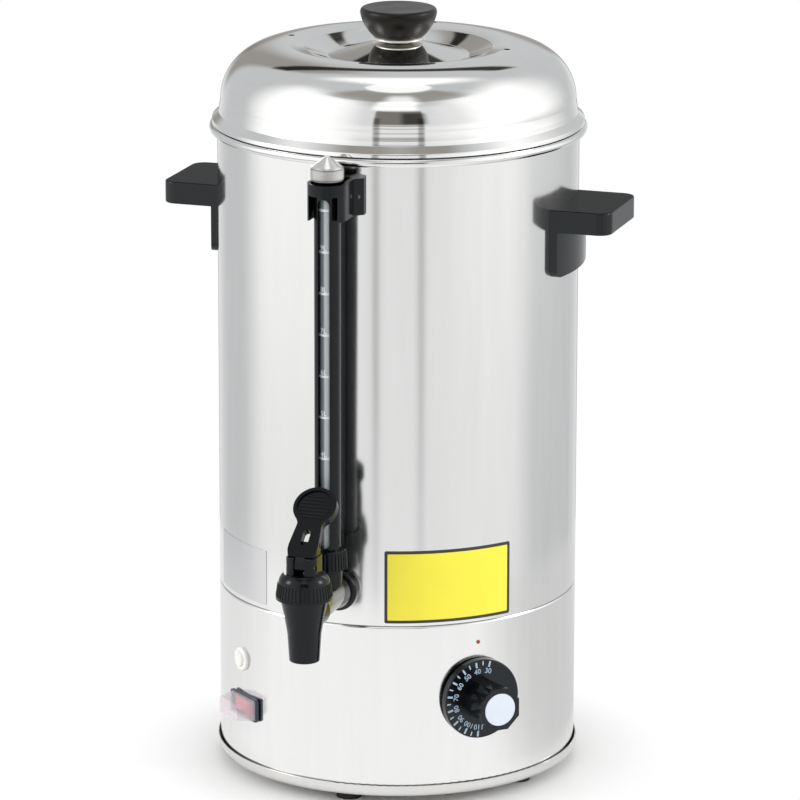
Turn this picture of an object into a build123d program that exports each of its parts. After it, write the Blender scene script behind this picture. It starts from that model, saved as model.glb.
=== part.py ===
from build123d import *
import math
import os

# Ten litre hot water urn: single-walled stainless tank on a steel base with a thermostat,
# a lift-off lid, a lever tap, a sight gauge and two side handles.
# Millimetres, +Z up. The urn's axis is Z, the tap points along -Y and the feet stand on z = 0.
# Heights below are measured from the underside of the base pan, and the whole urn is lifted
# by the feet as each piece is written.

os.makedirs("parts", exist_ok=True)

# ---------------------------------------------------------------- fits and clearances
SEAT = 0.05
RUNNING = 0.08
CLEAR = 0.4
THREAD_FIT = 0.05
PAST = 1.0
BROKEN_EDGE = 0.8

# ---------------------------------------------------------------- sheet metal body
SHELL_R = 112.2
SHEET = 0.6
SHELL_IN = SHELL_R - SHEET
SHELL_MID = SHELL_R - SHEET / 2
SEAM_H = 109.1
SEAM_GAP = 1.0
NECK_LENGTH = 4.6
NECK_BEND = 0.45
FLOOR_FLANGE = 5.0
FLOOR_BEND = 3.0
TANK_FLOOR_H = SEAM_H + NECK_LENGTH + FLOOR_FLANGE + SHEET + 2 * SEAT
TANK_HEIGHT = 294.05
RIM_H = SEAM_H + TANK_HEIGHT
BEAD_R = 2.7
BEAD_ANGLE = 280

PAN_SHEET = 0.8
PAN_R = SHELL_R + 1.7
PAN_RIM_H = 7.6
PAN_BEND = 3.0
SKIRT_LIFT = 1.1

# ---------------------------------------------------------------- feet
FOOT_COUNT = 5
FOOT_HEIGHT = 7.0
FOOT_R = 9.0
FOOT_TAPER = 1.0
FOOT_INSET = 18.2
FOOT_CIRCLE_R = SHELL_R - FOOT_INSET
FOOT_RECESS_R = 5.0
FOOT_RECESS_DEPTH = 3.4
FOOT_SCREW_R = 2.0
FOOT_SCREW_HEAD_R = 3.8
FOOT_SCREW_HEAD_H = 2.4
FOOT_SCREW_END = 2.0
BRACKET_SHEET = 1.5
BRACKET_WIDTH = 16.0
BRACKET_HEIGHT = 15.0
BRACKET_FOOT_LENGTH = 26.0
BRACKET_BEND = 2.4

# ---------------------------------------------------------------- lid
LID_SHEET = 0.6
LID_GAP = 0.35
LID_EDGE_R = SHELL_R + 3.4
LID_EDGE_H = 2.4
LID_EDGE_LEAN = 0.2
LID_LEDGE_R = SHELL_R - 1.0
LID_LEDGE_RISE = 8.0
LID_LEDGE_ROUND = 1.5
LID_WALL_R = SHELL_R - 1.3
LID_WALL_RISE = 14.4
LID_DRAFT = 0.8
LID_BEND = 1.0
CROWN_SIDE_R = 32.3
CROWN_SIDE_ANGLE = 68.8
CROWN_TOP_R = 58.2
WELL_RIM_R = LID_WALL_R - 53.4
WELL_VALLEY_R = WELL_RIM_R - 13.5
WELL_DEPTH = 9.8
WELL_CONE_RISE = 2.2
WELL_BEND = 3.0
VENT_COUNT = 4
VENT_R = 2.0
VENT_CIRCLE_R = WELL_RIM_R + 12.5
LID_RING_DEPTH = 11.0
LID_RING_GAP = 1.0
LID_RING_LEAD = 3.0
LID_RING_LEAN = 1.5

KNOB_BASE_R = 15.2
KNOB_R = 23.8
KNOB_FLANK_H = 15.0
KNOB_BROW_H = 3.0
KNOB_BROW_LEAN = 0.4
KNOB_EDGE = 2.4
KNOB_SWELL = 0.62
KNOB_SWELL_AT = 0.42
KNOB_SCREW_R = 2.5
KNOB_SCREW_DEPTH = 12.0
KNOB_SCREW_HEAD_R = 4.6
KNOB_SCREW_HEAD_H = 3.2
KNOB_WASHER_R = 9.0
KNOB_WASHER_T = 1.2
FERRULE_R = KNOB_BASE_R + 0.4
FERRULE_H = 1.5
FERRULE_EDGE = 0.5
WELL_CONE_R = FERRULE_R + 0.9

# ---------------------------------------------------------------- handles
HANDLE_BELOW_RIM = 42.55
HANDLE_TOP_H = RIM_H - HANDLE_BELOW_RIM
HANDLE_REACH = SHELL_R + 33.3
HANDLE_HALF_WIDTH = 31.2
HANDLE_THICKNESS = 14.0
HANDLE_CORNER_R = 8.5
HANDLE_PLATE_T = 4.7
HANDLE_PLATE_H = 42.6
HANDLE_PLATE_CORNER_R = 5.0
HANDLE_EDGE = 1.0
HANDLE_SCREW_R = 2.5
HANDLE_SCREW_SPACING = 36.0
HANDLE_SCREW_DEPTH = 12.0
HANDLE_SCREW_END = 2.0
HANDLE_SCREW_HEAD_R = 4.6
HANDLE_SCREW_HEAD_H = 3.0
HANDLE_SEAL_R = 6.5
HANDLE_SEAL_T = 1.2

# ---------------------------------------------------------------- tap
TAP_RISE = 13.6
TAP_H = TANK_FLOOR_H + TAP_RISE
GAUGE_STANDOFF = 21.4
GAUGE_REACH = SHELL_R + GAUGE_STANDOFF
TAP_STANDOFF = 42.9
TAP_REACH = GAUGE_REACH + TAP_STANDOFF
SHANK_R = 9.0
SHANK_BORE_R = 5.0
SHANK_TAIL_R = 7.5
SHANK_NOSE_R = 7.0
FLANGE_T = 7.6
FLANGE_R = 13.0
FLANGE_EDGE = 2.5
SHANK_SHOULDER = SHELL_R + FLANGE_T
SHANK_COLLAR_R = 10.4
SHANK_COLLAR_L = 2.2
SHANK_TAIL_L = 11.1
SHANK_INNER_END = SHELL_IN - SHANK_TAIL_L
SEAL_R = 10.6
SEAL_T = 1.8
SEAL_BACK = 1.0
SHANK_NUT_T = 6.0
SHANK_NUT_FLATS = 22.0

SPOUT_DROP = 27.2
SPOUT_LOW_H = TAP_H - SPOUT_DROP
SPOUT_TUBE_L = 17.0
SPOUT_NECK_H = SPOUT_LOW_H + SPOUT_TUBE_L
SPOUT_RISE = 12.0
SPOUT_TOP_H = TAP_H + SPOUT_RISE
SPOUT_R = 9.2
SPOUT_NECK_R = SPOUT_R + 1.1
BONNET_R = 17.3
SPOUT_TOP_R = BONNET_R - 2.7
SPOUT_FLARE_H = (SPOUT_NECK_H + SPOUT_TOP_H) / 2
SPOUT_FLARE_R = (SPOUT_NECK_R + SPOUT_TOP_R) / 2 - 0.25
OUTLET_R = 5.4
CHAMBER_R = 9.0
CHAMBER_DROP = 5.5
CHAMBER_FLOOR_H = TAP_H - CHAMBER_DROP
SEAT_CONE = 1.6
PORT_R = 10.6
PORT_L = 17.0
PORT_END = TAP_REACH - PORT_L

BONNET_TOP_R = BONNET_R - 1.1
BONNET_DOME_R = BONNET_TOP_R - 3.8
BONNET_LOW_H = SPOUT_TOP_H + CLEAR / 2
BONNET_BAND = 2.0
BONNET_RIB_L = 9.8
BONNET_RIB_TOP_H = BONNET_LOW_H + BONNET_RIB_L
BONNET_DOME_H = 6.0
BONNET_TOP_H = BONNET_RIB_TOP_H + BONNET_DOME_H
BONNET_DOME_SAG = 0.76
BONNET_RIBS = 44
BONNET_RECESS = 2.2
RIB_DEPTH = 0.55
GUIDE_L = 6.0

TONGUE_WIDTH = 6.0
TONGUE_R = 2.9
HUB_WIDTH = 19.6
HUB_RISE = 11.4
HUB_TOP_H = BONNET_TOP_H + HUB_RISE
HUB_ROOT = 1.0
HUB_CORNER_R = 6.0
HUB_SLOT = TONGUE_WIDTH + 1.0
HUB_SLOT_BACK = 6.6
HUB_NOSE_R = 6.4

PIVOT_FORWARD = 5.8
PIVOT_H = HUB_TOP_H - HUB_NOSE_R
PIVOT_PIN_R = 1.25
PIVOT_PIN_INSET = 1.0
HEEL_DROP = 2.5
HEEL_R = 2.0
HEEL_GAP = 0.3
HEEL_SLOT = 3.6
HEEL_BRIDGE = 0.65
STALK_TOP_LOW = 1.0
STALK_TOP_HIGH = 5.0
STALK_SINK = 2.0
LEVER_LEAN = 48.0
LEVER_FACE = 6.4
LEVER_T = 5.0
LEVER_BASE_WIDTH = HUB_WIDTH - 1.0
LEVER_BASE_CORNER_R = 6.5
LEVER_BASE_DEPTH = 12.0
LEVER_FOOT_H = 4.0
LEVER_FOOT_END = LEVER_BASE_DEPTH - 3.0
LEVER_BASE_END = LEVER_BASE_DEPTH - 0.1
LEVER_NECK_WIDTH = 14.2
LEVER_WAIST_R = 6.0
LEVER_HEAD_AT = 39.6
LEVER_HEAD_R = 13.5
LEVER_POCKET = 1.2
LEVER_RIM = 2.2
LEVER_RIBS = 7
LEVER_RIB_PITCH = 2.5
LEVER_RIB_R = 0.55
LEVER_RIB_INSET = 1.6
LEVER_SLOT_WIDTH = 4.6
LEVER_SLOT_LENGTH = 11.5
LEVER_SLOT_AT = 17.0

STEM_R = 1.5
STEM_HEAD_R = 2.5
STEM_HEAD_H = 1.8
STEM_FLANGE_R = 5.6
STEM_FLANGE_H = 1.6
STEM_END = 2.0
CUP_LIFT = 0.3
CUP_R = CHAMBER_R - 1.6
CUP_H = 5.6
CUP_SKIRT = 1.4
CUP_HOLLOW = 0.8
CUP_EDGE = 1.0
SPRING_WIRE_R = 0.5
SPRING_R = 4.2
SPRING_TURNS = 5

# ---------------------------------------------------------------- sight gauge
GLASS_R = 5.0
GLASS_WALL = 1.3
SHIELD_R = 8.0
SHIELD_WALL = 1.5
BOSS_R = GLASS_R + 1.0
BOSS_RISE = 15.0
BOSS_TOP_H = TAP_H + BOSS_RISE
BOSS_BORE_R = 3.0
SOCKET_R = SHIELD_R + 0.9
SOCKET_SINK = 0.8
SOCKET_RISE = 27.2
SOCKET_TOP_H = TAP_H + SOCKET_RISE
LOWER_NUT_R = SOCKET_R + 3.4
LOWER_NUT_TOP_R = LOWER_NUT_R - 1.0
LOWER_NUT_LOW_H = SOCKET_TOP_H - 7.8
LOWER_NUT_TOP_H = SOCKET_TOP_H + 4.2
LOWER_NUT_EDGE = 1.0
LOWER_NUT_RIBS = 32
GAUGE_SEAL_H = 9.0

BRACKET_BELOW_RIM = 11.55
GAUGE_BRACKET_TOP_H = RIM_H - BRACKET_BELOW_RIM
GAUGE_BRACKET_H = 22.6
GAUGE_BRACKET_LOW_H = GAUGE_BRACKET_TOP_H - GAUGE_BRACKET_H
COLLAR_H = 7.0
COLLAR_LOW_H = GAUGE_BRACKET_TOP_H - COLLAR_H
COLLAR_FLOOR_T = 1.6
WINDOW_WIDTH = 5.4
WINDOW_LOW_H = LOWER_NUT_TOP_H + 1.2
WINDOW_TOP_H = COLLAR_LOW_H - 2.2

BUSH_THREAD_R = GLASS_R + 2.0
BUSH_WALL = 1.0
BUSH_FLANGE_R = BUSH_THREAD_R + 1.4
BUSH_FLANGE_T = 2.0
BUSH_RISE = 7.4
BUSH_TOP_H = GAUGE_BRACKET_TOP_H + BUSH_RISE
BUSH_OVER_GLASS = 3.0
CAP_R = BUSH_THREAD_R + 2.7
CAP_LOW_H = GAUGE_BRACKET_TOP_H + 1.2
CAP_BAND_H = 8.8
CAP_BAND_TOP_H = CAP_LOW_H + CAP_BAND_H
CAP_CONE_H = 5.8
CAP_CONE_TOP_H = CAP_BAND_TOP_H + CAP_CONE_H
CAP_TIP_R = 1.6
CAP_TIP_H = 0.8
CAP_CHAMFER = 0.7

COLLAR_IN_R = CAP_R + 0.5
CHEEK_OUT = COLLAR_IN_R + 1.8
CHEEK_IN = SHIELD_R + 1.1
FLARE_HALF_WIDTH = CHEEK_OUT + 4.8
FLARE_START = SHELL_R + 7.3
FLARE_SLOPE = 4.5
BACK_PLATE_T = 3.0
BRACKET_SCREW_R = 1.5
BRACKET_SCREW_X = FLARE_HALF_WIDTH - 3.2
BRACKET_SCREW_H = GAUGE_BRACKET_TOP_H - GAUGE_BRACKET_H / 2
BRACKET_SCREW_DEPTH = 5.0
BRACKET_SCREW_HEAD_R = 2.8
BRACKET_SCREW_HEAD_H = 2.0

# ---------------------------------------------------------------- thermostat and dial
DIAL_AZIMUTH = 44.8
DIAL_H = 61.6
DIAL_FACE = SHELL_R + 5.7
DIAL_R = 25.2
DIAL_RIM_DEPTH = 4.6
DIAL_WALL = 2.0
DIAL_EDGE = 0.7
GRIP_SIDES = 8
GRIP_BASE_R = 12.6
GRIP_FACE_R = 14.2
GRIP_HEIGHT = 24.2
INSERT_R = 10.2
INSERT_T = 1.6
INSERT_PROUD = 0.3
SHAFT_R = 3.0
SHAFT_FLAT = 1.0
SHAFT_IN_KNOB = 18.1
SHAFT_GRIP_END = DIAL_FACE + SHAFT_IN_KNOB
SHAFT_HOLE_R = 5.5
KNOB_HUB_WALL = 2.5
KNOB_HUB_DROP = 1.2
THERMOSTAT_WIDTH = 36.0
THERMOSTAT_HEIGHT = 40.0
THERMOSTAT_DEPTH = 20.0
THERMOSTAT_CORNER_R = 3.0
THERMOSTAT_GAP = 0.64
THERMOSTAT_FACE = math.sqrt(SHELL_IN**2 - (THERMOSTAT_WIDTH / 2) ** 2) - THERMOSTAT_GAP
SHAFT_IN_BODY = 10.5
SHAFT_INNER_END = THERMOSTAT_FACE - SHAFT_IN_BODY
BUSHING_R = 5.0
BUSHING_END = SHELL_R + CLEAR
CAPSULE_R = 13.0
CAPSULE_DEPTH = 7.0
SCREW_R = 2.0
SCREW_HEAD_R = 3.6
SCREW_HEAD_H = 1.4
SCREW_BITE = 7.0
SCREW_HEAD_ROUND = 0.45
THERMOSTAT_SCREW_SPACING = 28.0
TAB_WIDTH = 6.3
TAB_T = 0.8
TAB_LENGTH = 9.0
TAB_INSET_X = 5.0
TAB_INSET_Y = 6.4

# ---------------------------------------------------------------- switch and reset
SWITCH_AZIMUTH = -39.0
SWITCH_H = 42.4
BEZEL_WIDTH = 30.4
BEZEL_HEIGHT = 14.8
BEZEL_T = 2.0
BEZEL_CORNER_R = 1.4
SWITCH_FACE = SHELL_R + SEAT + BEZEL_T
SWITCH_BODY_WIDTH = BEZEL_WIDTH - 3.8
SWITCH_BODY_HEIGHT = BEZEL_HEIGHT - 3.2
SWITCH_BODY_DEPTH = 20.0
SWITCH_TAB_SPACING = 8.8
SWITCH_WINDOW_WIDTH = SWITCH_BODY_WIDTH - 3.6
SWITCH_WINDOW_HEIGHT = SWITCH_BODY_HEIGHT - 1.6
ROCKER_WIDTH = SWITCH_WINDOW_WIDTH - 1.4
ROCKER_HEIGHT = SWITCH_WINDOW_HEIGHT - 0.8
ROCKER_PIVOT_DEPTH = 3.4
ROCKER_CORNER_RISE = 4.4
ROCKER_VALLEY = 2.2
ROCKER_HEM = 0.2
ROCKER_TILT = 11.0
ROCKER_PIN_R = 1.2
ROCKER_PIN_SINK = 0.4
ROCKER_DROP = 4.0
ROCKER_BELLY = 2.9
COVER_WALL = 0.7
COVER_RISE = 11.0
COVER_TAPER_X = 3.4
COVER_TAPER_Y = 1.0
COVER_INSET_X = 1.2
COVER_INSET_Y = 0.8
COVER_CORNER_R = 1.6

RESET_AZIMUTH = -41.0
RESET_H = 71.8
RESET_BUTTON_R = 4.5
RESET_NECK_R = RESET_BUTTON_R + 1.1
RESET_BEZEL_R = RESET_NECK_R + 2.0
RESET_BEZEL_RISE = 2.0
RESET_BEZEL_EDGE = 1.2
RESET_BUTTON_RISE = 3.4
RESET_BUTTON_EDGE = 1.3
RESET_TRAVEL = 1.5
LIMITER_R = 14.0
LIMITER_DEPTH = 14.0
LIMITER_GAP = 3.2
LIMITER_FACE = SHELL_IN - LIMITER_GAP
LIMITER_TAB_X = 7.0

# ---------------------------------------------------------------- heating
SPREADER_R = SHELL_IN - 35.6
SPREADER_T = 5.0
ELEMENT_R = SPREADER_R - 21.0
ELEMENT_TUBE_R = 4.0
ELEMENT_SINK = 3.0
ELEMENT_ANGLE = 310.0
ELEMENT_LEG = 16.0
ELEMENT_PIN_R = 1.6
ELEMENT_PIN_L = 9.0
CLAMP_T = 2.0
CLAMP_WIDTH = 18.0
CLAMP_HALF_LENGTH = ELEMENT_R + 8.0
STUD_R = 3.0
STUD_TAIL = 6.5
NUT_FLATS = 10.0
NUT_T = 5.0
BULB_R = ELEMENT_TUBE_R - ELEMENT_SINK / 2 - SEAT
BULB_LENGTH = 56.0
THERMOSTAT_BULB_Y = -20.0
LIMITER_BULB_Y = -32.0
CAPILLARY_R = 1.0
CAPILLARY_STEP = 8.0
CAPILLARY_DROP = 12.0
CAPILLARY_LEAD = 10.0
CAPILLARY_BEND = 3.5

# ---------------------------------------------------------------- cord inlet and wiring
GLAND_AZIMUTH = 180.0
GLAND_H = 30.0
GLAND_BORE_R = 4.0
GLAND_THREAD_R = 8.0
GLAND_FLATS = 22.0
GLAND_FLANGE_T = 5.0
GLAND_DOME_R = 9.6
GLAND_DOME_L = 11.0
GLAND_DOME_ROUND = 4.0
GLAND_NUT_T = 4.5
GLAND_NUT_GAP = 0.3
GLAND_TAIL = 8.0
BLOCK_LENGTH = 42.0
BLOCK_WIDTH = 18.0
BLOCK_HEIGHT = 15.0
BLOCK_BASE_H = 4.0
BLOCK_WAYS = 3
BLOCK_PITCH = 13.1
BLOCK_GAP = 2.0
BLOCK_POD_INSET = 1.5
BLOCK_SCREW_R = 2.2
BLOCK_SCREW_Y = 4.3
BLOCK_SCREW_DEPTH = 7.0
BLOCK_Y = 66.0
EARTH_X = 36.0
EARTH_Y = 62.0
EARTH_R = 2.5
EARTH_L = 14.0
EARTH_NUT_FLATS = 8.0
EARTH_NUT_T = 4.0

WALL = Cylinder(SHELL_R + SEAT, 4 * RIM_H)
INNER_WALL = Cylinder(SHELL_IN - SEAT, 4 * RIM_H)
ALL_ROUND = 4 * SHELL_R


# ---------------------------------------------------------------- helpers
def rod(radius, low, high):
    """A solid cylinder about Z between two heights."""
    return Pos(0, 0, low) * Cylinder(radius, high - low, align=(Align.CENTER, Align.CENTER, Align.MIN))


def ring(outer, inner, low, high):
    """A tube about Z between two heights."""
    return rod(outer, low, high) - rod(inner, low - PAST, high + PAST)


def block(width, depth, low, high):
    """A box centred on Z between two heights."""
    return Pos(0, 0, low) * Box(width, depth, high - low, align=(Align.CENTER, Align.CENTER, Align.MIN))


def cone(low_radius, high_radius, low, high):
    """A frustum about Z between two heights."""
    align = (Align.CENTER, Align.CENTER, Align.MIN)
    return Pos(0, 0, low) * Cone(low_radius, high_radius, high - low, align=align)


def hexagon(flats, low, high):
    """A hexagonal prism about Z."""
    profile = RegularPolygon(flats / 2, 6, major_radius=False)
    return Pos(0, 0, low) * extrude(profile, high - low)


def turned(face):
    """A closed outline in radius and height, turned about Z."""
    return revolve(Plane.XZ * face, axis=Axis.Z)


def sheet_strip(edges, thickness):
    """A strip of sheet metal along a line in radius and height."""
    strip = make_face(offset(Wire(edges), thickness / 2, side=Side.BOTH))
    return strip & Pos(ALL_ROUND / 2, 0) * Rectangle(ALL_ROUND, 4 * RIM_H)


def on_wall(azimuth, height):
    """A place on the wall: x to the right, y up and z outward, with the origin on the axis."""
    a = math.radians(azimuth)
    right = (math.cos(a), math.sin(a), 0)
    out = (math.sin(a), -math.cos(a), 0)
    return Plane(origin=(0, 0, height), x_dir=right, z_dir=out).location


def wall_hole(radius):
    """The tool for a round hole through the wall, in the wall's own frame."""
    return rod(radius, SHELL_IN / 2, SHELL_R + PAST)


def at_tap(shape):
    """Moves a shape from the urn's axis to the tap's axis."""
    return Pos(0, -TAP_REACH, 0) * shape


def at_gauge(shape):
    """Moves a shape from the urn's axis to the gauge's axis."""
    return Pos(0, -GAUGE_REACH, 0) * shape


def around(count, shape, start=0.0):
    """Copies of a shape spaced evenly about Z."""
    return [Rot(0, 0, start + 360.0 / count * i) * shape for i in range(count)]


def write(name, *solids):
    """Lifts a node onto its feet and writes it."""
    moved = [Pos(0, 0, FOOT_HEIGHT) * s for group in solids for s in group.solids()]
    node = moved[0] if len(moved) == 1 else Compound(children=moved)
    export_step(node, f"parts/{name}.step")


def pan_screw(radius, head_radius, head_height, length):
    """A button-headed screw along Z: the head's flat seat at z = 0, its shank upward."""
    head = rod(head_radius, -head_height, 0)
    rim = head.edges().filter_by(GeomType.CIRCLE).sort_by(Axis.Z)[0]
    head = fillet(rim, head_height * SCREW_HEAD_ROUND)
    return head + rod(radius, 0, length)


# ---------------------------------------------------------------- base
def foot_places():
    """Where the feet stand, the first of them under the tap."""
    return [Rot(0, 0, 360.0 / FOOT_COUNT * i) * Pos(0, -FOOT_CIRCLE_R, 0) for i in range(FOOT_COUNT)]


def rubber_foot():
    body = cone(FOOT_R - FOOT_TAPER, FOOT_R, -FOOT_HEIGHT, 0)
    recess = rod(FOOT_RECESS_R, -FOOT_HEIGHT - PAST, -FOOT_HEIGHT + FOOT_RECESS_DEPTH)
    return body - recess - rod(FOOT_SCREW_R + SEAT, -FOOT_HEIGHT, PAST)


def foot_screw():
    seat = -FOOT_HEIGHT + FOOT_RECESS_DEPTH
    length = PAN_SHEET + BRACKET_SHEET + FOOT_SCREW_END - seat
    return Pos(0, 0, seat) * pan_screw(FOOT_SCREW_R, FOOT_SCREW_HEAD_R, FOOT_SCREW_HEAD_H, length)


def base_pan():
    mid = PAN_SHEET / 2
    edge = PAN_R - mid
    path = FilletPolyline((0, mid), (edge, mid), (edge, PAN_RIM_H - mid), radius=PAN_BEND)
    pan = turned(sheet_strip(path.edges(), PAN_SHEET))
    for place in foot_places():
        pan -= place * rod(FOOT_SCREW_R + SEAT, -PAST, PAN_SHEET + PAST)
    return pan


def pan_bracket():
    """An angle tab: its foot is clamped on the pan and its upright is welded inside the skirt."""
    mid = BRACKET_SHEET / 2
    reach = math.sqrt(SHELL_IN**2 - (BRACKET_WIDTH / 2) ** 2) - SEAT - mid
    low = PAN_SHEET + mid
    path = FilletPolyline(
        (reach - BRACKET_FOOT_LENGTH, low), (reach, low), (reach, low + BRACKET_HEIGHT), radius=BRACKET_BEND
    )
    profile = Plane.YZ * make_face(offset(path, mid, side=Side.BOTH))
    tab = extrude(profile, BRACKET_WIDTH / 2, both=True)
    tab = Rot(0, 0, 180) * tab
    hole = rod(FOOT_SCREW_R + SEAT, 0, PAN_SHEET + BRACKET_SHEET + PAST)
    return tab - Pos(0, -FOOT_CIRCLE_R, 0) * hole


def base_skirt():
    low = PAN_SHEET + SKIRT_LIFT
    neck = SHELL_IN - SEAT - SHEET / 2
    top = SEAM_H + NECK_LENGTH - SHEET / 2
    path = FilletPolyline(
        (SHELL_MID, low), (SHELL_MID, SEAM_H - SHEET), (neck, SEAM_H + SHEET), (neck, top), radius=NECK_BEND
    )
    skirt = turned(sheet_strip(path.edges(), SHEET))
    skirt -= on_wall(DIAL_AZIMUTH, DIAL_H) * wall_hole(SHAFT_HOLE_R)
    for side in (-1, 1):
        hole = Pos(0, side * THERMOSTAT_SCREW_SPACING / 2, 0) * wall_hole(SCREW_R + SEAT)
        skirt -= on_wall(DIAL_AZIMUTH, DIAL_H) * hole
    slot = block(SWITCH_BODY_WIDTH + CLEAR, SWITCH_BODY_HEIGHT + CLEAR, SHELL_IN / 2, SHELL_R + PAST)
    skirt -= on_wall(SWITCH_AZIMUTH, SWITCH_H) * slot
    skirt -= on_wall(RESET_AZIMUTH, RESET_H) * wall_hole(RESET_NECK_R + SEAT)
    return skirt - on_wall(GLAND_AZIMUTH, GLAND_H) * wall_hole(GLAND_THREAD_R + SEAT)


# ---------------------------------------------------------------- tank
def tank_wall():
    centre_h = RIM_H - BEAD_R
    curl = BEAD_R - SHEET / 2
    side = Line((SHELL_MID, SEAM_H + SEAM_GAP + SHEET / 2), (SHELL_MID, centre_h))
    bead = CenterArc((SHELL_MID + curl, centre_h), curl, 180, -BEAD_ANGLE)
    wall = turned(sheet_strip(side.edges() + bead.edges(), SHEET))
    wall -= on_wall(0, TAP_H) * wall_hole(SHANK_TAIL_R + SEAT)
    for azimuth in (-90, 90):
        for place in handle_screw_places(azimuth):
            wall -= place * wall_hole(HANDLE_SCREW_R + SEAT)
    for place in bracket_screw_places():
        wall -= place * wall_hole(BRACKET_SCREW_R + SEAT)
    return wall


def tank_bottom():
    mid = SHEET / 2
    edge = SHELL_IN - SEAT - mid
    low = TANK_FLOOR_H - mid - FLOOR_FLANGE
    path = FilletPolyline((0, TANK_FLOOR_H - mid), (edge, TANK_FLOOR_H - mid), (edge, low), radius=FLOOR_BEND)
    return turned(sheet_strip(path.edges(), SHEET))


# ---------------------------------------------------------------- heating
SPREADER_TOP_H = TANK_FLOOR_H - SHEET
SPREADER_LOW_H = SPREADER_TOP_H - SPREADER_T
ELEMENT_H = SPREADER_LOW_H + ELEMENT_SINK - ELEMENT_TUBE_R
CLAMP_TOP_H = ELEMENT_H - ELEMENT_TUBE_R - SEAT
CLAMP_LOW_H = CLAMP_TOP_H - CLAMP_T


def element_arc(radius):
    """The bent stretch of the element, open towards +Y."""
    section = Pos(ELEMENT_R, ELEMENT_H) * Circle(radius)
    arc = revolve(Plane.XZ * section, axis=Axis.Z, revolution_arc=ELEMENT_ANGLE)
    return Rot(0, 0, 90 + (360 - ELEMENT_ANGLE) / 2) * arc


def heat_spreader():
    disc = rod(SPREADER_R, SPREADER_LOW_H, SPREADER_TOP_H)
    disc = chamfer(disc.edges().filter_by(GeomType.CIRCLE), BROKEN_EDGE)
    groove = turned(Pos(ELEMENT_R, ELEMENT_H) * Circle(ELEMENT_TUBE_R + SEAT))
    return disc - groove - rod(STUD_R + SEAT, SPREADER_LOW_H - PAST, SPREADER_TOP_H + PAST)


def heating_element():
    element = element_arc(ELEMENT_TUBE_R)
    for side in (-1, 1):
        angle = math.radians(90 + side * (360 - ELEMENT_ANGLE) / 2)
        end = Pos(ELEMENT_R * math.cos(angle), ELEMENT_R * math.sin(angle), ELEMENT_H)
        element += end * Sphere(ELEMENT_TUBE_R)
        element += end * rod(ELEMENT_TUBE_R, -ELEMENT_LEG, 0)
        element += end * rod(ELEMENT_PIN_R, -ELEMENT_LEG - ELEMENT_PIN_L, -ELEMENT_LEG)
    return element


def element_clamp():
    """A pressed cross that holds the element and both sensing bulbs up against the spreader."""
    arms = block(2 * CLAMP_HALF_LENGTH, CLAMP_WIDTH, CLAMP_LOW_H, CLAMP_TOP_H)
    third = block(CLAMP_WIDTH, CLAMP_HALF_LENGTH, CLAMP_LOW_H, CLAMP_TOP_H)
    arms += Pos(0, -CLAMP_HALF_LENGTH / 2, 0) * third
    return arms - rod(STUD_R + SEAT, CLAMP_LOW_H - PAST, CLAMP_TOP_H + PAST)


def clamp_stud():
    return rod(STUD_R, CLAMP_LOW_H - STUD_TAIL, SPREADER_TOP_H)


def clamp_nut():
    low = CLAMP_LOW_H - NUT_T
    return hexagon(NUT_FLATS, low, CLAMP_LOW_H) - rod(STUD_R + THREAD_FIT, low - PAST, CLAMP_LOW_H + PAST)


def sensing_bulb(y, azimuth, height, inner_end):
    """A fluid bulb under the spreader, with its capillary led out to a control on the wall."""
    bulb_h = SPREADER_LOW_H - BULB_R - SEAT
    side = math.copysign(1, azimuth)
    bulb = Pos(-side * BULB_LENGTH / 2, y, bulb_h) * Rot(0, side * 90, 0) * rod(BULB_R, 0, BULB_LENGTH)
    a = math.radians(azimuth)
    behind = inner_end - CAPILLARY_LEAD
    start = (side * BULB_LENGTH / 2, y, bulb_h)
    over = (side * (BULB_LENGTH / 2 + CAPILLARY_STEP), y, bulb_h)
    down = (over[0], y, bulb_h - CAPILLARY_DROP)
    above = (behind * math.sin(a), -behind * math.cos(a), bulb_h - CAPILLARY_DROP)
    level = (above[0], above[1], height)
    end = (inner_end * math.sin(a), -inner_end * math.cos(a), height)
    path = FilletPolyline(start, over, down, above, level, end, radius=CAPILLARY_BEND)
    tube = sweep(Plane(origin=start, z_dir=(side, 0, 0)) * Circle(CAPILLARY_R), path=path)
    return bulb + tube


# ---------------------------------------------------------------- thermostat and dial
def thermostat_body():
    body = block(THERMOSTAT_WIDTH, THERMOSTAT_HEIGHT, THERMOSTAT_FACE - THERMOSTAT_DEPTH, THERMOSTAT_FACE)
    body = fillet(body.edges().filter_by(Axis.Z), THERMOSTAT_CORNER_R)
    low = THERMOSTAT_FACE - THERMOSTAT_DEPTH
    body += rod(CAPSULE_R, low - CAPSULE_DEPTH, low)
    body += rod(BUSHING_R, THERMOSTAT_FACE, BUSHING_END)
    for x in (-1, 1):
        for y in (-1, 1):
            tab = Pos(x * (THERMOSTAT_WIDTH / 2 - TAB_INSET_X), y * (THERMOSTAT_HEIGHT / 2 - TAB_INSET_Y), 0)
            body += tab * block(TAB_T, TAB_WIDTH, low - TAB_LENGTH, low)
    body -= rod(SHAFT_R + RUNNING, SHAFT_INNER_END - CLEAR, BUSHING_END + PAST)
    for side in (-1, 1):
        hole = Pos(0, side * THERMOSTAT_SCREW_SPACING / 2, 0)
        body -= hole * rod(SCREW_R + THREAD_FIT, THERMOSTAT_FACE - SCREW_BITE - PAST, THERMOSTAT_FACE + PAST)
    return on_wall(DIAL_AZIMUTH, DIAL_H) * body


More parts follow.
